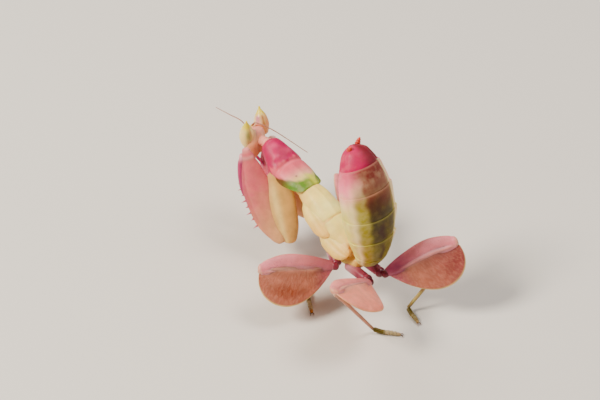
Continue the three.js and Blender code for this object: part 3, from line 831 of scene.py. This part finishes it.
def makeBelly():
    edges = belly["edges"]
    for index in range(6):
        last = index == 5
        low = edges[index]
        high = 1.0 if last else edges[index + 1] + belly["overlap"]

        def relief(s, a, low=low, high=high, last=last):
            inside = (s - low) / (high - low)
            degrees = np.degrees(a)
            lip = 0.0 if last else belly["lip"] * smoothStep(0.72, 0.97, inside)
            swell = 0.03 * np.sin(np.clip(inside, 0, 1) * math.pi)
            tuck = -0.07 * (1 - smoothStep(0.0, 0.2, inside)) - 0.06
            plates = -0.16 * bump(138, 4, degrees) - 0.05 * bump(18, 5, degrees)
            flanks = 0.20 * bump(146, 6, degrees) * smoothStep(0.3, 0.95, inside)
            flanks = flanks + 0.10 * bump(10, 7, degrees) * smoothStep(0.4, 0.95, inside) * (s < 0.8)
            keel = 0.16 * bump(270, 10, degrees)
            return lip + swell + tuck + plates + flanks + keel

        rounded = (0.02 if index else 0.8, 0.9 if last else 0.025)
        plate = sweep(spots(belly["line"]), belly["sizes"], sideways, rings=56, sides=180,
                      start=max(low - 0.03, 0), end=high, rounded=rounded, relief=relief)
        paintBelly(plate, index, low, high)
        name = "abdomen_" + str(index + 1)
        piece(name, [plate], bellySkin, [name])


def paintBelly(plate, index, low, high):
    share, degrees = plate["marks"]["along"], plate["marks"]["turn"] * 360
    centre, width = belly["stripeCentres"][index], belly["stripeWidths"][index]
    inside = (share - low) / (high - low)
    signed = np.where(degrees > 230, degrees - 360, degrees)
    wave = 3 * np.sin(share * 60 + degrees * 0.05) + 2 * np.sin(degrees * 0.21)
    under = smoothStep(18, 46, signed + wave) * (1 - smoothStep(132, 140, signed))
    middle = smoothStep(48, 72, signed + wave) * (1 - smoothStep(118, 132, signed))
    rise = smoothStep(0.66, 0.84, share)
    spread = smoothStep(0.5, 0.8, share)
    flank = 1 - smoothStep(4 + 6 * spread, 36 + 30 * spread, signed + wave)
    flank = np.clip(np.maximum(flank, smoothStep(140, 150, signed)), 0, 1)
    mark(plate, "olive", under * (1 - smoothStep(0.6, 0.76, share)) * 0.95)
    # the middle of the underside: partly its own olive-brown, partly painted shade, stronger further along
    deepest = 0.5 + 0.5 * smoothStep(0.1, 0.42, share)
    mark(plate, "deep", middle * (1 - smoothStep(0.6, 0.76, share)) * deepest)
    wide = smoothStep(4, 34, signed + wave) * (1 - smoothStep(132, 140, signed))
    upper = np.clip(middle * (1 - rise) + under * 0.4 * (1 - rise) + wide * rise, 0, 1)
    mark(plate, "mauve", upper * smoothStep(0.5, 0.66, share) * (0.75 + 0.25 * rise))
    blot = bump(centre, width, signed + wave) * smoothStep(0.02, 0.2, inside)
    blot = blot * (1 - smoothStep(0.72, 0.95, inside))
    mark(plate, "dark", blot * belly["stripeStrengths"][index])
    mark(plate, "blush", flank * smoothStep(0.55, 0.75, share) * 0.95)
    mark(plate, "lime", flank * (1 - smoothStep(0.5, 0.72, share)) * 0.85)
    tip = np.maximum(float(index == 5), flank * smoothStep(0.7, 0.9, share) * 0.85)
    mark(plate, "rose", tip * 0.95)
    stripe = bump(134, 4.5, signed) * smoothStep(0.2, 0.45, share)
    stripe = stripe * (1 - smoothStep(0.86, 0.92, share)) * 0.75
    # a maroon stripe along the plates' right edge, which is the mantis's own colour; on the tip plate,
    # painted shade darkens its right half
    mark(plate, "maroon", np.maximum(stripe, (index == 5) * smoothStep(60, 110, signed) * 0.9))
    rim = bump(0.965, 0.03, inside) * (index < 5)
    mark(plate, "rim", rim * under * (1 - smoothStep(0.6, 0.7, share)) * 0.35)
    mark(plate, "pinkRim", rim * under * smoothStep(0.6, 0.7, share) * 0.6)


def makeCerci():
    for side in sides:
        horn = sweep(spots(belly[side + "Cercus"]), belly["cercusSizes"], sideways, rings=40, sides=28,
                     relief=lambda s, a: 0.035 * np.sin(s * 26))
        mark(horn, "dark", bump(0.5, 0.3, horn["marks"]["along"]) * 0.5)
        piece("cercus_" + side, [horn], cercusSkin, ["cercus_" + side])


makeBelly()
makeCerci()
print("abdomen made")

# Forelegs

arm = {
    "leftShoulder": (15.9, 2.35, 5.7),
    "leftElbow": (13.3, 2.6, -2.7),
    "leftThigh": [(13.9, 3.5, -2.6), (16.7, 3.65, .1), (18.85, 4.0, 4.3), (21.2, 4.35, 10.9)],
    "rightShoulder": (15.9, -2.35, 5.7),
    "rightElbow": (15.0, -2.6, -2.5),
    "rightThigh": [(15.6, -3.2, -2.4), (18.9, -2.3, .2), (21.8, -1.75, 3.6), (23.9, -2.75, 7.9)],
    "coxaAcross": (.75, .5, -.3),
    "leftAcross": (.65, .5, -.57),
    "rightAcross": (.7, .45, -.6),
    "coxaSizes": [[0, .9, .6], [.08, 1.6, .9], [.35, 2.15, 1.0], [.7, 1.85, .9], [.93, 1.15, .7],
                  [1, .7, .5]],
    "thighSizes": [[0, .6, .4], [.06, 1.25, .65], [.3, 2.4, .85], [.55, 2.42, .9], [.8, 1.55, .8],
                   [.93, .8, .6], [1, .5, .4]],
    "shin": [(.94, .6), (.83, 1.4), (.68, 2.0), (.54, 2.25), (.48, 1.9)],   # share of thigh, mm beside it
    "shinSizes": [[0, .4, .4], [.15, .55, .5], [.6, .5, .45], [.85, .36, .32], [1, .1, .1]],
    "spineShares": (.24, .30, .36, .42, .48, .54, .6, .66),
    "spineLength": 0.75,
    "shortSpine": 0.62,         # every other spine is this share of a long one
    "spineRow": 0.34,           # how far each row is off the middle, in mm
    "shinSpines": 9,
    "shinSpineRow": 0.3,
    "shinSpineLength": 0.42,
    "footSizes": [[0, .2, .2], [.2, .24, .22], [1, .14, .13]],
    "footJoints": (0.42, 0.58, 0.7, 0.82),
}

# foreleg cuticle: pink at the knee end, tan at the hip end
coxaSkin = cuticleMaterial("fore coxa cuticle", paint(
    "#cda060", ("stripe", "#e8cd88"), ("blush", "#d9a080"), ("peach", "#d2a870")), grain=0.22)
thighSkin = cuticleMaterial("fore femur cuticle", paint(
    "#cd9c70", ("pink", "#cc666e"), ("edge", "#b2426c"), ("pearl", "#ecc9c0")), grain=0.24)
foreShinSkin = cuticleMaterial("fore tibia cuticle", paint(
    "#ae3f6a", ("pale", "#f0a4b0"), ("dark", "#7e2648")), roughness=0.34, coat=0.15)
spineSkin = cuticleMaterial("spine chitin", paint("#c56a78"), roughness=0.3)


def makeArm(side, sign):
    shoulder, elbow = spot(*arm[side + "Shoulder"]), spot(*arm[side + "Elbow"])
    line = [shoulder + onSide(spot(1.7, -0.5, 1.9), sign), shoulder * 0.5 + elbow * 0.5, elbow]
    across = onSide(spot(*arm["coxaAcross"]), sign)
    coxa = sweep(line, arm["coxaSizes"], across, rings=80, sides=64, relief=lambda s, a: (
        0.06 * bump(0.35 * math.pi, 0.1, a) - 0.05 * bump(0.5, 0.1, a / math.pi)))
    share, around = surface(coxa)
    face = np.cos(around)
    mark(coxa, "stripe", np.clip(bump(0.25, 0.3, face) * smoothStep(0.05, 0.25, share), 0, 1) * 0.75)
    mark(coxa, "blush", (1 - smoothStep(0.1, 0.5, share)) * smoothStep(0.2, 0.8, face) * 0.6)
    mark(coxa, "peach", smoothStep(-0.2, -0.9, face) * 0.5)
    piece("fore_coxa_" + side, [coxa], coxaSkin, ["fore_coxa_" + side])

    line = spots(arm[side + "Thigh"])
    across = spot(*arm[side + "Across"])
    path = lineThrough(line, 400)

    def relief(s, a):
        rim = -0.10 * bump(0.62, 0.10, np.cos(a)) * smoothStep(0.15, 0.3, s)
        rim = rim * (1 - smoothStep(0.8, 0.95, s))
        knee = 0.10 * bump(0.92, 0.025, s) - 0.04 * bump(0.87, 0.02, s)
        pleat = 0.03 * np.sin(np.cos(a) * 9) * bump(0.45, 0.25, s)
        return rim + knee + pleat

    thigh = sweep(line, arm["thighSizes"], across, rings=130, sides=96, relief=relief)
    share, around = surface(thigh)
    face = np.cos(around)
    mark(thigh, "pink", np.clip(smoothStep(0.0, 0.7, share + 0.16 * face), 0, 1))
    edge = smoothStep(0.5, 1.0, face) * 0.65 if sign > 0 else 0.45
    mark(thigh, "edge", edge * smoothStep(0.35, 0.6, share))
    # painted highlight: a pearly glint ringing the knee; the left knee's tip is pale, and the right knee's
    # tip is painted light against the head's shadow
    pearl = bump(0.915, 0.018, share) * smoothStep(-0.3, 0.5, np.sin(around)) * 0.35
    mark(thigh, "pearl", np.maximum(pearl, smoothStep(0.94, 0.98, share) * (0.25 if sign > 0 else 0.95)))
    piece("fore_femur_" + side, [thigh], thighSkin, ["fore_femur_" + side])

    def beside(share, out, lift=0.0):
        place, heading = along(path, np.array([share]))
        wide = flat(across, heading[0])
        return place[0] + wide * out + np.cross(heading[0], wide) * lift

    shinLine = [beside(share, out) for share, out in arm["shin"]]
    shin = sweep(shinLine, arm["shinSizes"], np.cross(unit(line[-1] - line[0]), across), rings=80, sides=40,
                 relief=lambda s, a: 0.08 * bump(0.04, 0.04, s) - 0.05 * bump(0.12, 0.03, s))
    share = shin["marks"]["along"]
    # pale at the shin's base; the right shin is also painted paler all over, painted light for a shin lying
    # in shade
    mark(shin, "pale", np.maximum(1 - smoothStep(0.05, 0.2, share), 0.0 if sign > 0 else 0.5) * 0.9)
    mark(shin, "dark", smoothStep(0.86, 1.0, share) * 0.9)
    piece("fore_tibia_" + side, [shin], foreShinSkin, ["fore_tibia_" + side])

    places, aims, stretches = [], [], []
    for row, lift in enumerate((arm["spineRow"], -arm["spineRow"])):
        for count, where in enumerate(arm["spineShares"]):
            reach = float(smoothSizes(arm["thighSizes"], np.array([where]))[0, 0]) * 0.93
            start, end = beside(where, reach, lift), beside(where - 0.012, reach + 1, lift * 1.5)
            places.append(start)
            aims.append(end - start)
            size = 1.0 if count % 2 == row else arm["shortSpine"]
            stretches.append((0.3, 0.3, arm["spineLength"] * size))
    shinPath = lineThrough(shinLine, 200)
    for lift in (arm["shinSpineRow"], -arm["shinSpineRow"]):
        for where in np.linspace(0.3, 0.86, arm["shinSpines"]):
            place, heading = along(shinPath, np.array([where]))
            inward = -flat(across, heading[0])
            places.append(place[0] + inward * 0.3 + np.cross(heading[0], inward) * lift)
            aims.append(inward + heading[0] * 0.5)
            stretches.append((0.2, 0.2, arm["shinSpineLength"]))
    repeated("fore_spines_" + side, places, aims, stretches, "spine", spineSkin, 0.1)
    makeForeFoot(side, beside, sign)


def makeForeFoot(side, beside, sign):
    # the walking foot of the foreleg, folded back along the inner face of the thigh
    low, high = (np.array(corner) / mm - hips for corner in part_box("fore_tarsus_" + side))
    inner = -1 if sign > 0 else 1
    start, end = beside(0.62, 2.0, 0.0), beside(0.36, 1.0, 0.0)
    middle = (low + high) / 2
    span = (end - start) * 0.5
    line = [middle - span * 0.95, middle, middle + span * 0.95]
    foot = sweep(line, arm["footSizes"], spot(0.2, inner, 0.2), rings=70, sides=20,
                 relief=lambda s, a: -0.07 * sum(bump(joint, 0.015, s) for joint in arm["footJoints"]))
    piece("fore_tarsus_" + side, [foot], foreShinSkin, ["fore_tarsus_" + side])


for side, sign in sides.items():
    makeArm(side, sign)
print("forelegs made")

# Walking legs

leg = {
    "legs": {   # root, hip, knee, where the ankle and the toe stand, and where the petal hangs
        "mid_left": [(5.9, 1.35, .1), (3.3, 2.3, -.5), (8.4, 12.6, 1.0), (6.75, 5.0), (3.4, 6.9),
                     (-.49, .41, -.77)],
        "mid_right": [(5.9, -1.35, .1), (3.3, -2.3, -.5), (13.9, -6.7, 4.9), (14.4, -8.0), (17.2, -9.8),
                      (-.49, -.41, -.77)],
        "hind_left": [(2.6, 1.15, -.35), (-2.5, 1.2, -.2), (-5.9, 10.9, 5.8), (-5.1, 2.8), (-8.1, .2),
                      (-.966, -.195, -.189)],
        "hind_right": [(2.6, -1.15, -.35), (-2.5, -1.2, -.2), (-8.2, -10.0, 4.9), (-5.0, -3.9),
                       (-7.9, -3.3), (-.71, .06, -.7)],
    },
    "arch": 0.6,            # how far the thigh's crest stands off a straight line
    "petalDepth": 5.4,
    "petalThickness": 0.34,
    "wrinklesAlong": 44.0,  # how many wrinkles there are along and across a petal, about
    "wrinklesOut": 8.0,
    "cup": 0.35,            # how far the petal is hollowed
    "coxaSizes": [[0, .5, .5], [.12, .78, .75], [.5, .8, .75], [.9, .72, .7], [1, .5, .5]],
    "thighSizes": [[0, .5, .45], [.08, .8, .5], [.3, 1.2, .48], [.6, 1.42, .46], [.85, 1.15, .45],
                   [.96, .8, .42], [1, .45, .3]],
    "shinSizes": [[0, .3, .3], [.06, .4, .38], [.25, .3, .28], [.9, .24, .24], [1, .22, .22]],
    "footSizes": [[0, .25, .25], [.08, .34, .34], [.8, .28, .28], [1, .18, .2]],
    "knuckleSizes": [[0, .5, .5], [.4, .62, .6], [1, .5, .5]],
    "clawSizes": [[0, .08, .08], [.5, .06, .06], [1, .02, .02]],
    "footJoints": (0.44, 0.6, 0.73, 0.84),
    "ankleHeight": 0.8,
    "footLift": 0.26,
}

# petal leg: a mauve ridge over a terracotta lobe, thin as a petal, with a cream rim; with a painted lit band
# across the lobe, painted shade in the lobe's hollow, a painted highlight line where ridge meets lobe, and
# painted light on the hind left petal
petalPaint = paint(
    "#a06452", ("lit", "#b47462"), ("patch", "#84422c"), ("ridge", "#d98790"), ("mauve", "#9a4a66"),
    ("crease", "#cc8e80"), ("wine", "#843e44"), ("pale", "#ffa492"), ("green", "#9a9a64"), ("rim", "#c8b27a"))


def petalWrinkles(tree):
    places = []
    for name, count in (("fan", leg["wrinklesAlong"]), ("out", leg["wrinklesOut"])):
        marked = addNode(tree, "ShaderNodeAttribute", {"attribute_name": name})
        places.append(addNode(tree, "ShaderNodeMath", {"operation": "MULTIPLY"}, {
            0: (marked, "Fac"), 1: count}))
    place = addNode(tree, "ShaderNodeCombineXYZ", {}, {"X": places[0], "Y": places[1]})
    return (addNode(tree, "ShaderNodeTexNoise", {}, {
        "Vector": place, "Scale": 1.0, "Detail": 4.0, "Distortion": 0.7}), "Fac")


def petalColour(tree):
    # fine dots on the ridge and fine pale lines on the lobe
    result = petalPaint(tree)
    place = addNode(tree, "ShaderNodeTexCoord")
    dots = (addNode(tree, "ShaderNodeTexNoise", {}, {
        "Vector": (place, "Object"), "Scale": 1 / (0.16 * mm), "Detail": 2.0, "Roughness": 0.55}), "Fac")
    details = ((dots, 0.6, 0.72, 0.55, "ridge", "#a8446a"),
               (petalWrinkles(tree), 0.35, 0.75, 0.26, "lobe", "#d89a84"))
    for pattern, low, high, most, name, shade in details:
        amount = addNode(tree, "ShaderNodeMapRange", {"interpolation_type": "SMOOTHSTEP"}, {
            "Value": pattern, "From Min": low, "From Max": high, "To Min": 0.0, "To Max": most})
        marked = addNode(tree, "ShaderNodeAttribute", {"attribute_name": name})
        share = addNode(tree, "ShaderNodeMath", {"operation": "MULTIPLY"}, {0: amount, 1: (marked, "Fac")})
        result = (addNode(tree, "ShaderNodeMix", {"data_type": "RGBA"}, {
            0: share, 6: result, 7: toLinear(shade)}), 2)
    return result


petalSkin = cuticleMaterial("petal leg cuticle", petalColour, roughness=0.4, grain=0.2, glow=0.5,
                            wrinkles=petalWrinkles)
coxaTubeSkin = cuticleMaterial("walking coxa cuticle", paint(
    "#843a4a", ("dark", "#5a1a24"), ("pale", "#b8848c")), roughness=0.34, coat=0.1)
shinSkin = cuticleMaterial("tibia cuticle", paint(
    "#b8776b", ("yellow", "#a59c5c"), ("dark", "#5c4a20"), ("pale", "#dbb49a")), glow=0.5)
footSkin = cuticleMaterial("tarsus cuticle", paint(
    "#5f5214", ("pale", "#b8a884"), ("orange", "#b06a1c")), roughness=0.45)
clawSkin = cuticleMaterial("claw chitin", paint("#4a2c14"), roughness=0.25, coat=0.3)


def bezier(start, first, second, end, count):
    t = np.linspace(0, 1, count)[:, None]
    start, first, second, end = (np.array(point, float) for point in (start, first, second, end))
    opening = (1 - t) ** 3 * start + 3 * (1 - t) ** 2 * t * first
    return opening + 3 * (1 - t) * t ** 2 * second + t ** 3 * end


def makePetal(path, petal, hip, knee, style):
    # the lobe's outline is (share along the thigh, share of its depth)
    fullest = style["fullest"]
    outline = np.vstack([
        bezier((.03, 0), (.21 * fullest, .3), (.54 * fullest, .99), (fullest, .985), 60)[:-1],
        bezier((fullest, .985), (fullest + .22, .985), (1.04, .62), (1.0, .12), 60)[:-1],
        bezier((1.0, .12), (.99, .08), (.975, .04), (.96, 0), 12)])
    roots = along(path, np.linspace(0.03, 0.96, len(outline)))[0]
    straight = knee - hip
    rim = hip + outline[:, :1] * straight + outline[:, 1:] * petal * leg["petalDepth"]
    normal = unit(np.cross(straight, petal))
    turns = np.linspace(0, fullTurn, 84, endpoint=False)
    out = (1 - np.cos(turns)) / 2
    side = np.sign(np.sin(turns)) * np.abs(np.sin(turns)) ** 0.75
    rows, fans = [], []
    for index, depth in enumerate(outline[:, 1]):
        half = leg["petalThickness"] / 2 * min(1, 0.35 + depth)
        thick = half * (1 + 0.35 * bump(0.93, 0.06, out) - 0.2 * bump(0.8, 0.08, out))
        thick = thick + 0.46 * (1 - smoothStep(0.08, 0.44, out)) * min(1, 2.5 * depth)
        bend = leg["cup"] * style["cup"] * depth * np.sin(out * math.pi * 0.62)
        bend = bend + style["curl"] * depth * out ** 3
        sway = 0.10 * np.sin(index * 0.11 + style["phase"]) * out ** 2
        line = roots[index] + out[:, None] * (rim[index] - roots[index])
        rows.append(line + (side * thick + bend + sway)[:, None] * normal)
        fans.append(np.full(len(out), index / len(outline)))
    tips = [rows[0].mean(0), rows[-1].mean(0)]
    out, fan = np.append(np.tile(out, len(rows)), [0, 0]), np.append(np.concatenate(fans), [0, 1])
    lobe = {"vertices": np.vstack(rows + [tips]), "faces": tubeFaces(len(rows), len(turns)),
            "marks": {"fan": fan, "out": out}}
    edge = smoothStep(0.955, 0.99, out) * smoothStep(0.02, 0.08, fan)
    mark(lobe, "lobe", smoothStep(0.05, 0.3, out) * (1 - edge))
    mark(lobe, "rim", edge * style["rim"])
    mark(lobe, "green", edge * style["green"])
    # painted highlight: a pale line where the lobe meets the ridge
    mark(lobe, "crease", bump(0.13, 0.06, out) * 0.7)
    mark(lobe, "lit", bump(0.45, 0.22, out) * 0.5)
    # painted shade: a darker patch low in the lobe's hollow
    mark(lobe, "patch", bump(style["patch"][0], 0.16, fan) * bump(style["patch"][1], 0.16, out))
    mark(lobe, "mauve", (1 - smoothStep(0.08, 0.3, fan)) * 0.8)
    # pale lightens the whole petal; on the hind left petal this is painted light, for a petal facing up into
    # the light
    mark(lobe, "pale", style["pale"])
    mark(lobe, "wine", style["wine"] * smoothStep(0.25, 0.75, fan))
    return lobe


petalStyles = {
    "mid_left": {
        "cup": 1.0, "curl": 0.3, "phase": 0.0, "fullest": 0.66,
        "rim": 1.0, "green": 0.0, "patch": (.52, .66), "pale": 0.0, "wine": 0.0, "mauve": 0.45},
    "mid_right": {
        "cup": 1.0, "curl": 0.3, "phase": 1.0, "fullest": 0.66,
        "rim": 1.0, "green": 0.0, "patch": (.72, .72), "pale": 0.6, "wine": 0.0, "mauve": 0.45},
    # this petal faces up into the light, and its paleness is painted light
    "hind_left": {
        "cup": 0.5, "curl": -0.7, "phase": 2.0, "fullest": 0.5,
        "rim": 0.5, "green": 0.0, "patch": (.7, .5), "pale": 0.95, "wine": 0.0, "mauve": 0.4},
    "hind_right": {
        "cup": 0.8, "curl": 0.2, "phase": 3.0, "fullest": 0.66,
        "rim": 0.8, "green": 0.35, "patch": (.7, .7), "pale": 0.0, "wine": 0.7, "mauve": 0.9},
}


def makeLeg(name, data):
    root, hip, knee = (spot(*point) for point in data[:3])
    floor = -stance["hipHeight"]
    ankle = spot(data[3][0], data[3][1], floor + leg["ankleHeight"])
    toe = spot(data[4][0], data[4][1], floor + leg["footLift"])
    petal = spot(*data[5])
    straight = knee - hip
    petal = flat(petal, straight)
    hind = name.startswith("hind")
    coxa = sweep([root, root * 0.5 + hip * 0.5 + petal * -0.15, hip], leg["coxaSizes"], petal,
                 rings=60, sides=36,
                 relief=lambda s, a: -0.08 * bump(0.8, 0.02, s) + 0.06 * bump(0.88, 0.05, s))
    share = coxa["marks"]["along"]
    mark(coxa, "dark", smoothStep(0.84, 0.97, share) * (0.85 if hind else 0.2))
    mark(coxa, "pale", (1 - smoothStep(0.2, 0.65, share)) * 0.7)
    knuckle = sweep([hip - straight * 0.02, hip + straight * 0.08], leg["knuckleSizes"], petal,
                    rings=24, sides=28)
    mark(knuckle, "dark", 1.0 if hind else 0.15)
    piece(name + "_coxa", [coxa, knuckle], coxaTubeSkin, [name + "_coxa"])

    line = [hip + straight * 0.03, hip + straight * 0.66 - petal * leg["arch"], knee]
    path = lineThrough(line, 300)

    def relief(s, a):
        edge = 0.08 * bump(math.pi, 0.25, a) * bump(0.6, 0.35, s)
        fold = 0.13 * bump(0.5, 0.13, np.cos(a)) - 0.08 * bump(0.18, 0.12, np.cos(a))
        groove = fold * smoothStep(0.1, 0.3, s) * (1 - smoothStep(0.85, 0.95, s))
        knob = 0.02 * bump(0.965, 0.015, s) - 0.03 * bump(0.93, 0.014, s)
        return edge + groove + knob

    ridge = sweep(line, leg["thighSizes"], petal, rings=110, sides=64, relief=relief)
    share, around = surface(ridge)
    style = petalStyles[name]
    mark(ridge, "ridge", 0.75 + 0.25 * smoothStep(0.2, 0.6, share))
    mark(ridge, "mauve", (1 - smoothStep(0.15, 0.55, share)) * style["mauve"])
    # painted highlight: a pale line along the ridge's lower edge, where it meets the lobe
    mark(ridge, "crease", bump(0.52, 0.16, np.cos(around)) * smoothStep(0.1, 0.35, share) * 0.6)
    mark(ridge, "rim", np.clip(bump(math.pi, 0.16, around) * smoothStep(0.35, 0.7, share) * 0.7
                               + smoothStep(0.95, 0.99, share) * 0.35, 0, 1))
    # the same paleness on the ridge, which is painted light on the hind left leg
    mark(ridge, "pale", style["pale"] * 0.2)
    lobe = makePetal(path, petal, hip, knee, style)
    piece(name + "_femur", [ridge, lobe], petalSkin, [name + "_femur"])

    bow = unit(np.cross(ankle - knee, np.cross(petal, ankle - knee)))
    shinLine = [knee - straight * 0.01, knee * 0.55 + ankle * 0.45 + bow * 0.25, ankle]
    shin = sweep(shinLine, leg["shinSizes"], petal, rings=80, sides=24, relief=lambda s, a: (
        0.05 * bump(0.04, 0.03, s) + 0.03 * bump(math.pi, 0.3, a)))
    share = shin["marks"]["along"]
    mark(shin, "yellow", 0.8 if name == "hind_right" else 0.2)
    mark(shin, "dark", smoothStep(0.86, 1.0, share) * 0.8)
    mark(shin, "pale", (1 - smoothStep(0.02, 0.1, share)) * 0.6)
    piece(name + "_tibia", [shin], shinSkin, [name + "_tibia"])
    makeFoot(name, ankle, toe)


def makeFoot(name, ankle, toe):
    # five joints, the first the longest, and two claws
    def relief(s, a):
        grooves = sum(bump(joint, 0.012, s) for joint in leg["footJoints"])
        return -0.10 * grooves + 0.04 * sum(bump(joint - 0.03, 0.02, s) for joint in leg["footJoints"])

    floor = -stance["hipHeight"]
    course = [ankle, ankle * 0.7 + toe * 0.3 + spot(0, 0, -0.18), ankle * 0.3 + toe * 0.7 + spot(0, 0, 0.02),
              toe]
    foot = sweep(course, leg["footSizes"], np.cross(toe - ankle, (0, 0, 1.0)), rings=90, sides=28,
                 relief=relief)
    foot["vertices"][:, 2] = np.maximum(foot["vertices"][:, 2], floor)
    share = foot["marks"]["along"]
    mark(foot, "pale", smoothStep(0.35, 0.5, share) * (0.8 if name in ("hind_left", "mid_left") else 0.3))
    mark(foot, "orange", smoothStep(0.8, 0.95, share) * (0.9 if name == "mid_left" else 0.2))
    heading = unit(toe - ankle)
    beside = unit(np.cross(heading, (0, 0, 1.0)))
    claws = []
    for sign in (1, -1):
        start = toe - heading * 0.1 + beside * 0.08 * sign
        line = [start, start + heading * 0.3 + beside * 0.14 * sign + spot(0, 0, 0.05),
                start + heading * 0.46 + beside * 0.16 * sign + spot(0, 0, -0.2)]
        claw = sweep(line, leg["clawSizes"], beside, rings=16, sides=10)
        claw["vertices"][:, 2] = np.maximum(claw["vertices"][:, 2], floor)
        claws.append(claw)
    piece(name + "_tarsus", [foot], footSkin, [name + "_tarsus"])
    piece(name + "_claws", claws, clawSkin)


for name, data in leg["legs"].items():
    makeLeg(name, data)
print("walking legs made")

print("hips at", hips)
